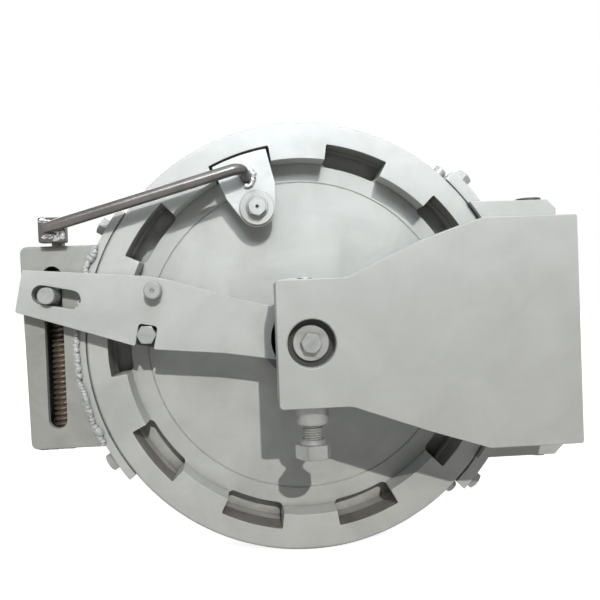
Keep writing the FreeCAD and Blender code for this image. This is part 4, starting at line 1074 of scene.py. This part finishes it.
class CLOSURE_OT_centre(bpy.types.Operator):
    """The centre bolt and washer in the arm, and the adjusting bolt with its nut"""
    bl_idname = "closure.centre"
    bl_label = "Centre and adjusting bolts"

    def execute(self, context):
        size = context.scene.closure_fasteners
        low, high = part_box("centre_washer")
        top = low.y - FACE_Y
        washer = disc(size.shank + WASHER_GAP, (high.x - low.x) / 2, high.y - low.y,
                      facing(0, high.y - FACE_Y, 0), 72)
        fastener("retaining_washer", washer, "door", "centre_washer")
        head = hexagon(size.small_flats, size.small_head, facing(0, top, 0, size.centre_turn))
        shank = disc(0, size.shank, size.centre_shank, facing(0, top + size.centre_shank, 0), 24)
        fastener("centre_bolt_head", joined([head, shank]), "door", "centre_bolt")
        low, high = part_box("adjusting_bolt")
        middle = (low.y + high.y) / 2 - FACE_Y
        under = low.z + size.large_head
        turn = Matrix.Rotation(size.adjuster_turn, 4, "Z")
        head = hexagon(size.large_flats, size.large_head, upright(0, middle, under, True) @ turn)
        flare = turned([(0, -MM), (size.flange, -MM), (size.flange, size.flange_rim),
                        (size.flange_top, size.flange_height), (0, size.flange_height)], 48,
                       upright(0, middle, under))
        rod = thread(size.large_radius, size.thread_depth, size.thread_pitch, under, high.z,
                     upright(0, middle, 0))
        fastener("adjusting_screw", joined([head, flare, rod]), "adjuster", "adjusting_bolt")
        low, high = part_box("adjusting_lock_nut")
        tall = high.z - low.z + size.nut_drop
        radius, bore = size.nut_radius, size.large_radius + THREAD_GAP
        soft, edge = size.nut_round, size.nut_edge
        nut = turned([(bore, 0), (radius - soft, 0), (radius - 0.3 * soft, 0.36 * soft), (radius, soft),
                      (radius, tall - edge), (radius - edge, tall), (bore, tall)], 64,
                     upright(0, middle, low.z - size.nut_drop))
        fastener("lock_nut", nut, "hub", "adjusting_lock_nut")
        return {"FINISHED"}


class CLOSURE_OT_lever(bpy.types.Operator):
    """The locking lever, its pad, its bolts and its drive pin"""
    bl_idname = "closure.lever"
    bl_label = "Lever"

    def execute(self, context):
        size = context.scene.closure_lever
        bolts = context.scene.closure_fasteners
        low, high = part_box("lever_plate")
        front, rear = low.y - FACE_Y, high.y - FACE_Y
        place = facing(0, rear, 0, LEVER_ANGLE)
        slot = stadium(size.slot_near, size.slot_far, 0, size.slot_half)
        hole = circle(size.pad_place, -size.bolt_offset, bolts.shank + SOFT / 2)
        blade = plate(self.outline(size), [slot, hole], rear - front, size.edge, place)
        eye = plate(circle(0, 0, size.eye, 72), [circle(0, 0, size.eye_bore)], rear - front, size.edge, place)
        piece(make_mesh("lever_blade", joined([blade, eye])), "door", "plate paint",
              ["lever_plate"])
        back = context.scene.closure_door.face_depth
        pad = plate(rectangle(size.pad_place - size.pad_half_width, -size.pad_seen,
                              size.pad_place + size.pad_half_width, size.pad_seen, size.corner),
                    [], back - rear, size.edge, facing(0, back, 0, LEVER_ANGLE))
        # The pad under the lever is painted near-black: painted shade under the lever.
        piece(make_mesh("lever_spacer", pad), "door", "recess shade", ["lever_pad"])
        self.bolts(size, bolts, front, rear)
        low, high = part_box("drive_pin")
        middle = (low + high) / 2
        pin = disc(0, (high.x - low.x) / 2, high.y - low.y, facing(middle.x, high.y - FACE_Y, middle.z), 56)
        piece(make_mesh("lever_pin", pin), "nut", "bolt finish", ["drive_pin"])
        return {"FINISHED"}

    def outline(self, size):
        """The lever's outline, with the open notch for the hexagon bolt in its upper edge."""
        near = size.pad_place - size.gap_half
        far = size.pad_place + size.gap_half
        waist, wide = size.waist_bend, size.wide_bend
        return softened([
            (0.0, -size.root_half, 0), (size.waist, -size.waist_half, waist),
            (size.wide_near, -size.wide_half, wide), (size.wide_far, -size.wide_half, wide),
            (size.tip, -size.tip_half, size.tip_corner), (size.tip, size.tip_half, size.tip_corner),
            (far, size.wide_half, size.corner), (far, size.gap_inner, size.gap_root),
            (near, size.gap_inner, size.gap_root), (near, size.wide_half, size.corner),
            (size.wide_near, size.wide_half, wide), (size.waist, size.waist_half, waist),
            (0.0, size.root_half, 0)])

    def bolts(self, size, bolts, front, rear):
        """The round and the hexagon bolt, one on each side of the lever's centre line."""
        def at(across, depth, turn=0.0):
            spot = Matrix.Rotation(LEVER_ANGLE, 2) @ Vector((size.pad_place, across))
            return facing(spot.x, depth, spot.y, turn)

        radius, tall, shank, mark = size.round_radius, size.round_height, bolts.shank, size.mark
        rim, dip = 1.5 * MM, 0.6 * MM
        rod = [(0, -size.round_reach), (shank, -size.round_reach), (shank, 0)]
        top = [(radius, 0), (radius, tall - rim), (radius - rim, tall)]
        ring = [(mark, tall), (mark - 0.4 * MM, tall - dip),
                (mark - 1.2 * MM, tall - dip), (mark - 1.6 * MM, tall)]
        dimple = [(mark / 3, tall - 2 * dip), (0, tall - rim)]
        head = turned(rod + top + ring + dimple, 56, at(-size.bolt_offset, front))
        fastener("pad_round_bolt", head, "door", "lever_round_bolt")
        stem = disc(0, shank, size.hex_reach, at(size.bolt_offset, rear + size.hex_reach), 24)
        head = hexagon(bolts.small_flats, size.hex_height, at(size.bolt_offset, rear, size.hex_turn))
        fastener("pad_hex_bolt", joined([head, stem]), "door", "lever_hex_bolt")


class CLOSURE_OT_screw_box(bpy.types.Operator):
    """The screw box, its foot, its weld and the lead screw"""
    bl_idname = "closure.screw_box"
    bl_label = "Screw box"

    def execute(self, context):
        size = context.scene.closure_screw
        saddle = context.scene.closure_bracket
        low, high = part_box("screw_box")
        left, half, front = low.x, high.z, low.y - FACE_Y
        rim = RIM + size.foot
        self.box(size, left, half, front, rim)
        self.welds(size, left, half, front, rim)
        half_turn = size.foot_half
        foot = band(RIM + SOFT / 2, rim, 0, saddle.depth, math.pi - half_turn, math.pi + half_turn, 80)
        piece(bevelled(make_mesh("box_saddle", foot), saddle.edge), "hub", "plate paint",
              ["screw_box_foot"])
        end = size.square / 2
        shoulder = size.thread_half + size.shoulder
        square_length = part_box("lead_screw")[1].z - shoulder
        screw = joined([
            thread(size.radius, size.thread_depth, size.pitch, -size.thread_half, size.thread_half,
                   upright(SCREW_X, SCREW_DEPTH, 0), 40),
            disc(0, size.journal, shoulder * 2, upright(SCREW_X, SCREW_DEPTH, -shoulder), 32),
            plate(rectangle(-end, -end, end, end, size.square_corner), [], square_length, SOFT,
                  upright(SCREW_X, SCREW_DEPTH, shoulder))])
        piece(make_mesh("trapezoid_screw", screw), "screw", "rusty thread", ["lead_screw"],
              ALL_ROUND)
        return {"FINISHED"}

    def box(self, size, left, half, front, rim):
        """The box against the round rim, hollow, with the long slot in its front."""
        corner, wall, edge = size.box_corner, size.box_wall, size.box_edge
        arc = [(-math.sqrt(rim * rim - z * z), z, 0) for z in spread(-half, half, 24)]
        outline = softened([(left, -half, corner), *arc, (left - size.box_lean, half, corner)], 8)
        box = make_mesh("screw_housing", plate(outline, [], size.box_depth, edge,
                                               facing(0, front + size.box_depth, 0)))
        behind = size.box_depth + wall
        room = plate(rectangle(left + wall, wall - half, -size.room_end, half - wall, edge), [], behind, SOFT,
                     facing(0, front + wall + behind, 0))
        deep = size.slot_cut
        levels = ((-deep, 0), (deep - SOFT / 4, 0), (deep + 0.75 * SOFT, SOFT), (1.5 * deep, SOFT))
        loops = [[point.to_3d() + Vector((0, 0, z)) for point in
                  stadium(-size.slot_reach - grow, size.slot_reach + grow, 0.0, size.slot_half + grow)]
                 for z, grow in levels]
        count = len(loops[0])
        points, faces = grid(loops, loop=False)
        faces += [tuple(range(count)), tuple(range(count * 3, count * 4))[::-1]]
        carved(box, [room, moved((points, faces), facing(SCREW_X, front + deep, 0, math.pi / 2))])
        piece(box, "hub", "box paint", ["screw_box"])
        finish_where(box, "cavity", lambda radius, depth, middle: depth > front + wall - SOFT
                     and left + wall / 2 < middle.x and abs(middle.z) < half - wall / 2)

    def welds(self, size, left, half, front, rim):
        """The heavy bead between box and foot, and the thin seam along the box's lower edge."""
        reach = rim + size.weld_radius * 0.3
        top = half * 0.99
        path = [Vector((-math.sqrt(reach ** 2 - z * z), FACE_Y + front + size.weld_sink, z))
                for z in spread(top, -top, 60)]
        ridge = bead(path, size.weld_radius, size.weld_ripple, seed=2.0, rough=0.75)
        weld_metal("box_weld", ridge, "hub", "weld paint")
        start, end = [Vector((left + along, FACE_Y + front + 4 * MM, -half))
                      for along in (size.box_corner, size.seam_end)]
        seam = bead(line(start, end, 20), size.seam_radius, 4 * MM, seed=7.0, rough=0.9)
        weld_metal("box_seam", seam, "hub", "notch root")


def drilled_head(size, flats, height, place):
    """A hexagon head with a small drilled vent in its middle."""
    hole = size.bleed
    return hexagon(flats, height, place, ((hole + SOFT, 1.0), (hole, 0.93), (hole, 0.35), (0.0, 0.35)))


class CLOSURE_OT_interlock(bpy.types.Operator):
    """The pressure interlock: plate, vent screw, rod and block"""
    bl_idname = "closure.interlock"
    bl_label = "Interlock"

    def execute(self, context):
        size = context.scene.closure_interlock
        bolts = context.scene.closure_fasteners
        low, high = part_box("interlock_plate")
        washer_low, washer_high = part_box("vent_washer")
        centre = (washer_low + washer_high) / 2
        reach = math.hypot(centre.x, centre.z)
        fan = math.asin(size.tip_half / size.tip)
        tip = circle(0, 0, size.tip, 12, -fan, 2 * fan)
        nose = circle(reach, 0, size.end, 20, math.pi - size.end_half, 2 * size.end_half)
        shoulders = [Vector((size.shoulder, side * size.shoulder_half)) for side in (-1, 1)]
        tongue = plate([shoulders[0], *tip, shoulders[1], *nose], [circle(reach, 0, size.hole)],
                       high.y - low.y, size.edge, facing(0, high.y - FACE_Y, 0, INTERLOCK_ANGLE))
        # The plate takes the lighter copy of the paint as a painted highlight.
        piece(make_mesh("interlock_tongue", tongue), "interlock", "interlock lit paint",
              ["interlock_plate"])
        x, z = centre.x, centre.z
        top = washer_low.y - FACE_Y
        washer = disc(bolts.shank + WASHER_GAP, size.washer, washer_high.y - washer_low.y,
                      facing(x, washer_high.y - FACE_Y, z), 72)
        fastener("vent_disc", washer, "vent", "vent_washer")
        collar = disc(0, size.collar, size.collar_height, facing(x, top, z), 56)
        head = drilled_head(size, bolts.small_flats, size.collar_height + bolts.small_head,
                            facing(x, top, z, size.head_turn))
        shank = disc(0, bolts.shank, size.shank, facing(x, top + size.shank - MM / 2, z), 24)
        fastener("vent_bolt", joined([collar, head, shank]), "vent", "vent_screw")
        self.rod(size)
        self.block(size)
        return {"FINISHED"}

    def rod(self, size):
        """The bent rod from the block to its foot on the plate, with the weld round that foot."""
        low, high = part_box("interlock_rod")
        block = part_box("interlock_block")[0]
        radius = size.rod_radius
        foot = Vector((high.x - radius, high.y, high.z - radius))
        corner = Vector((foot.x - size.rod_lean, FACE_Y - size.rod_stand, foot.z + size.rod_rise))
        start = Vector((low.x + radius / 2, block.y - radius - size.rod_gap, block.z + size.rod_height))
        back = (start - corner).normalized()
        down = (foot - corner).normalized()
        half = back.angle(down) / 2
        setback = size.rod_bend / math.tan(half)
        middle = corner + (back + down).normalized() * size.rod_bend / math.sin(half)
        first = corner + back * setback - middle
        axis = first.cross(corner + down * setback - middle).normalized()
        bend = [middle + Matrix.Rotation(turn, 3, axis) @ first
                for turn in spread(0.0, math.pi - 2 * half, 12)]
        path = line(start, bend[0], 12)[:-1] + bend + [foot]
        ends = [radius * 0.86] + [radius] * (len(path) - 1)
        piece(make_mesh("bent_rod", tube(path, ends, 28)), "interlock", "rod steel",
              ["interlock_rod"], ALL_ROUND)
        centre = foot - Vector((0, 1.5 * MM, 0))
        ring = []
        for turn in spread(size.ring_first, size.ring_last, 24):
            out = polar(radius + 2 * MM, turn)
            ring.append(centre + Vector((out.x, 0, out.y)))
        ridge = bead(ring, size.ring_bead, 10 * MM, seed=9.0, rough=0.6)
        weld_metal("rod_weld", ridge, "interlock", "bright weld")

    def block(self, size):
        """The block under the rod's end, with its four lumps of weld metal."""
        low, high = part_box("interlock_block")
        block = plate(rectangle(low.x, low.z, high.x, high.z, size.block_corner), [], high.y - low.y,
                      size.block_edge, facing(0, high.y - FACE_Y, 0))
        piece(make_mesh("rod_block", block), "interlock", "dark steel", ["interlock_block"])
        big, small, flat = (7.6, 4.5, 7.8), (6.0, 3.2, 3.6), (7.0, 2.2, 3.0)
        places = (((24.5, 1, 10.5), big, 1.0), ((7.5, 1, 28.5), small, 2.0), ((20, 0, 23), flat, 4.0),
                  ((13, 0, 8), flat, 6.0))
        drops = [lump(low + Vector(spot) * MM, Vector(reach) * MM, seed, rough=0.75, across=24, rows=16)
                 for spot, reach, seed in places]
        weld_metal("block_weld", joined(drops), "interlock", "bright weld")


class CLOSURE_OT_bracket(bpy.types.Operator):
    """The hinge bracket with its ears, and the bolts and studs in the rim"""
    bl_idname = "closure.bracket"
    bl_label = "Hinge bracket"

    def execute(self, context):
        size = context.scene.closure_bracket
        inside = RIM + SOFT / 2
        strip = band(inside, RIM + size.thickness, 0, size.depth, -size.half, size.half, 90)
        piece(bevelled(make_mesh("bracket_saddle", strip), size.edge), "hub", "plate paint",
              ["hinge_bracket"])
        cut, right, near, far = size.ear_chamfer, size.ear_right, size.ear_inner, size.ear_outer
        root = size.ear_root
        upper = [(root, near), (right, near), (right, far - cut), (right - cut, far), (root, far)]
        lower = [(x, -z) for x, z in reversed(upper)]
        ears = [plate([Vector(point) for point in corners], [], size.ear_front + size.ear_back, size.edge,
                      facing(0, size.ear_back, 0)) for corners in (upper, lower)]
        bottom, top = -size.ear_back - 10 * MM, size.ear_front + 10 * MM
        bore = turned([(0, bottom), (inside, bottom), (inside, top), (0, top)], 180, facing(0, 0, 0))
        piece(carved(make_mesh("bracket_ears", joined(ears)), [bore]), "hub", "plate paint")
        self.rim_bolts(context.scene.closure_fasteners, size.thickness, context.scene.closure_screw.foot)
        return {"FINISHED"}

    def rim_bolts(self, bolts, bracket, foot):
        """Pairs of bolts through the two saddles, and the two studs."""
        left = [math.pi - bolts.foot_angle, math.pi + bolts.foot_angle]
        right = [bolts.outer_angle, -bolts.outer_angle, bolts.inner_angle, -bolts.inner_angle]
        for name, node, seat, angles in (("foot_bolts", "box_foot_bolts", foot, left),
                                         ("bracket_bolts", "hinge_bracket_bolts", bracket, right)):
            shapes = [hexagon(bolts.small_flats, bolts.rim_head, outward(RIM + seat, depth, turn))
                      for turn in angles for depth in (bolts.row_front, bolts.row_back)]
            fastener(name, joined(shapes), "hub", node)
        radius, height, crown = bolts.stud_radius, bolts.stud_height, bolts.stud_crown
        profile = [(0, 0), (radius, 0), (radius, height - crown), (radius - SOFT, height - SOFT),
                   (radius - crown, height), (0, height)]
        studs = [turned(profile, 40, outward(RIM, bolts.stud_row, turn))
                 for turn in (bolts.stud_angle, -bolts.stud_angle)]
        fastener("rim_studs", joined(studs), "hub", "locating_studs")


NODE_FINISHES = {
    "door_seal": "seal rubber", "centre_shaft": "dark steel", "shaft_spacer": "dark steel",
    # The centre bush is painted near-black as painted shade in the recess.
    "centre_bush": "recess shade", "screw_box_cover": "box paint", "screw_bushes": "bronze",
    # The drive nut gets dark steel instead of bronze: painted shade in the box's slot.
    "drive_nut": "dark steel", "vent_boss": "dark steel", "hinge_pin": "dark steel", "hinge_bushes": "bronze",
    "hinge_thrust_washers": "bronze",
}


class CLOSURE_OT_solid_finishes(bpy.types.Operator):
    """Give each carried-over solid its finish"""
    bl_idname = "closure.solid_finishes"
    bl_label = "Finishes of the plain solids"

    def execute(self, context):
        for name, finish in NODE_FINISHES.items():
            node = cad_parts[name]
            node.data.materials.clear()
            node.data.materials.append(MATERIALS[finish])
        return {"FINISHED"}


def shown_as_background(tree):
    """A mask of the rays that see the background itself, straight, mirrored or through glass."""
    rays = tree.nodes.new("ShaderNodeLightPath").outputs
    shown = calculate(tree, "ADD", rays["Is Camera Ray"], rays["Is Glossy Ray"], True)
    return calculate(tree, "ADD", shown, rays["Is Transmission Ray"], True)


class CLOSURE_OT_stage(bpy.types.Operator):
    """The white floor and backdrop, the lights and the camera"""
    bl_idname = "closure.stage"
    bl_label = "Stage"

    def execute(self, context):
        scene = context.scene
        scene.view_settings.view_transform = "Standard"
        camera = bpy.data.cameras.new("camera")
        camera.lens = CAMERA_LENS
        camera.sensor_width = 36
        view = bpy.data.objects.new("camera", camera)
        view.location = Vector(CAMERA_SPOT) + Vector((0, FACE_Y, 0))
        view.rotation_euler = [math.radians(turn) for turn in CAMERA_TURN]
        scene.collection.objects.link(view)
        scene.camera = view
        self.sun("sun", 2.0, (1.0, 0.985, 0.95), width=0.9, ahead=(-0.15, 1.0, -0.615))
        self.sun("back_fill", 0.9, (0.95, 0.97, 1.0), width=30.0, ahead=(0.35, -1.0, -0.55))
        self.panel("sky_panel", 2.0, (0.80, 0.90, 1.0), size=(0.6, 0.6), beam=180,
                   away=0.25, height=0.55, aim=0.05)
        self.panel("top_panel", 1.5, (0.88, 0.94, 1.0), size=(2.2, 0.3), beam=30,
                   away=1.0, height=0.75, aim=0.3)
        self.backdrop(scene)
        self.floor(scene)
        return {"FINISHED"}

    def place(self, light, spot, ahead):
        """Hang a lamp at a spot and turn it along a direction."""
        lamp = bpy.data.objects.new(light.name, light)
        lamp.location = spot
        lamp.rotation_euler = Vector(ahead).to_track_quat("-Z", "Y").to_euler()
        bpy.context.scene.collection.objects.link(lamp)

    def sun(self, name, energy, tint, width, ahead):
        """A distant lamp that shines along a direction."""
        light = bpy.data.lights.new(name, "SUN")
        light.energy = energy
        light.angle = math.radians(width)
        light.color = tint
        self.place(light, (0, 0, 1), ahead)

    def panel(self, name, energy, tint, size, beam, away, height, aim):
        """A panel at a distance and height in front, aimed at a height on the hub face."""
        light = bpy.data.lights.new(name, "AREA")
        light.shape = "RECTANGLE"
        light.size, light.size_y = size
        light.energy = energy
        light.spread = math.radians(beam)
        light.color = tint
        here = Vector((0, FACE_Y - away, height))
        self.place(light, here, Vector((0, FACE_Y, aim)) - here)

    def backdrop(self, scene):
        """A white background over a dim sky that is brighter above."""
        scene.world = bpy.data.worlds.new("world")
        scene.world.use_nodes = True
        tree = scene.world.node_tree
        way = tree.nodes.new("ShaderNodeTexCoord").outputs["Generated"]
        height = add_node(tree, "ShaderNodeSeparateXYZ", None, Vector=way).outputs["Z"]
        sky = stretch(tree, height, 0.0, 1.0, 0.02, 0.22)
        background = tree.nodes["Background"].inputs
        feed(tree, background["Strength"], stretch(tree, shown_as_background(tree), 0.0, 1.0, sky, 1.0))
        feed(tree, background["Color"], (1, 1, 1))

    def floor(self, scene):
        """A floor that looks white and keeps the object's shadow."""
        low = CAD_BOUNDS[0].z - MM / 2
        mesh = bpy.data.meshes.new("floor")
        corners = ((-FLOOR_HALF, -FLOOR_HALF), (FLOOR_HALF, -FLOOR_HALF), (FLOOR_HALF, FLOOR_HALF),
                   (-FLOOR_HALF, FLOOR_HALF))
        mesh.from_pydata([(x, y, low) for x, y in corners], [], [(0, 1, 2, 3)])
        floor = bpy.data.objects.new("floor", mesh)
        scene.collection.objects.link(floor)
        tree, shader = new_material("floor")
        feed(tree, shader["Base Color"], (0.5, 0.5, 0.5))
        feed(tree, shader["Roughness"], 0.9)
        feed(tree, shader["Emission Color"], (1, 1, 1))
        feed(tree, shader["Emission Strength"], calculate(tree, "MULTIPLY", shown_as_background(tree), 0.85))
        floor.data.materials.append(MATERIALS["floor"])


class CLOSURE_PT_panel(bpy.types.Panel):
    """The steps that dress the closure"""
    bl_idname = "CLOSURE_PT_panel"
    bl_label = "Quick Opening Closure"
    bl_space_type = "VIEW_3D"
    bl_region_type = "UI"
    bl_category = "Closure"

    def draw(self, context):
        for step in STEPS:
            self.layout.operator(step.bl_idname)


STEPS = (CLOSURE_OT_materials, CLOSURE_OT_hub, CLOSURE_OT_door, CLOSURE_OT_arm, CLOSURE_OT_centre,
         CLOSURE_OT_lever, CLOSURE_OT_screw_box, CLOSURE_OT_interlock, CLOSURE_OT_bracket,
         CLOSURE_OT_solid_finishes, CLOSURE_OT_stage)
GROUPS = {"closure_hub": ClosureHubSizes, "closure_door": ClosureDoorSizes, "closure_arm": ClosureArmSizes,
          "closure_lever": ClosureLeverSizes, "closure_screw": ClosureScrewSizes,
          "closure_interlock": ClosureInterlockSizes, "closure_fasteners": ClosureFastenerSizes,
          "closure_bracket": ClosureBracketSizes, "closure_finish": ClosureFinish}


def register():
    for name, group in GROUPS.items():
        bpy.utils.register_class(group)
        setattr(bpy.types.Scene, name, PointerProperty(type=group))
    for item in (*STEPS, CLOSURE_PT_panel):
        bpy.utils.register_class(item)


def unregister():
    for item in reversed((*STEPS, CLOSURE_PT_panel)):
        bpy.utils.unregister_class(item)
    for name, group in GROUPS.items():
        delattr(bpy.types.Scene, name)
        bpy.utils.unregister_class(group)


def main():
    """Run every step in order."""
    register()
    for step in STEPS:
        family, name = step.bl_idname.split(".")
        getattr(getattr(bpy.ops, family), name)()


if __name__ == "__main__":
    main()
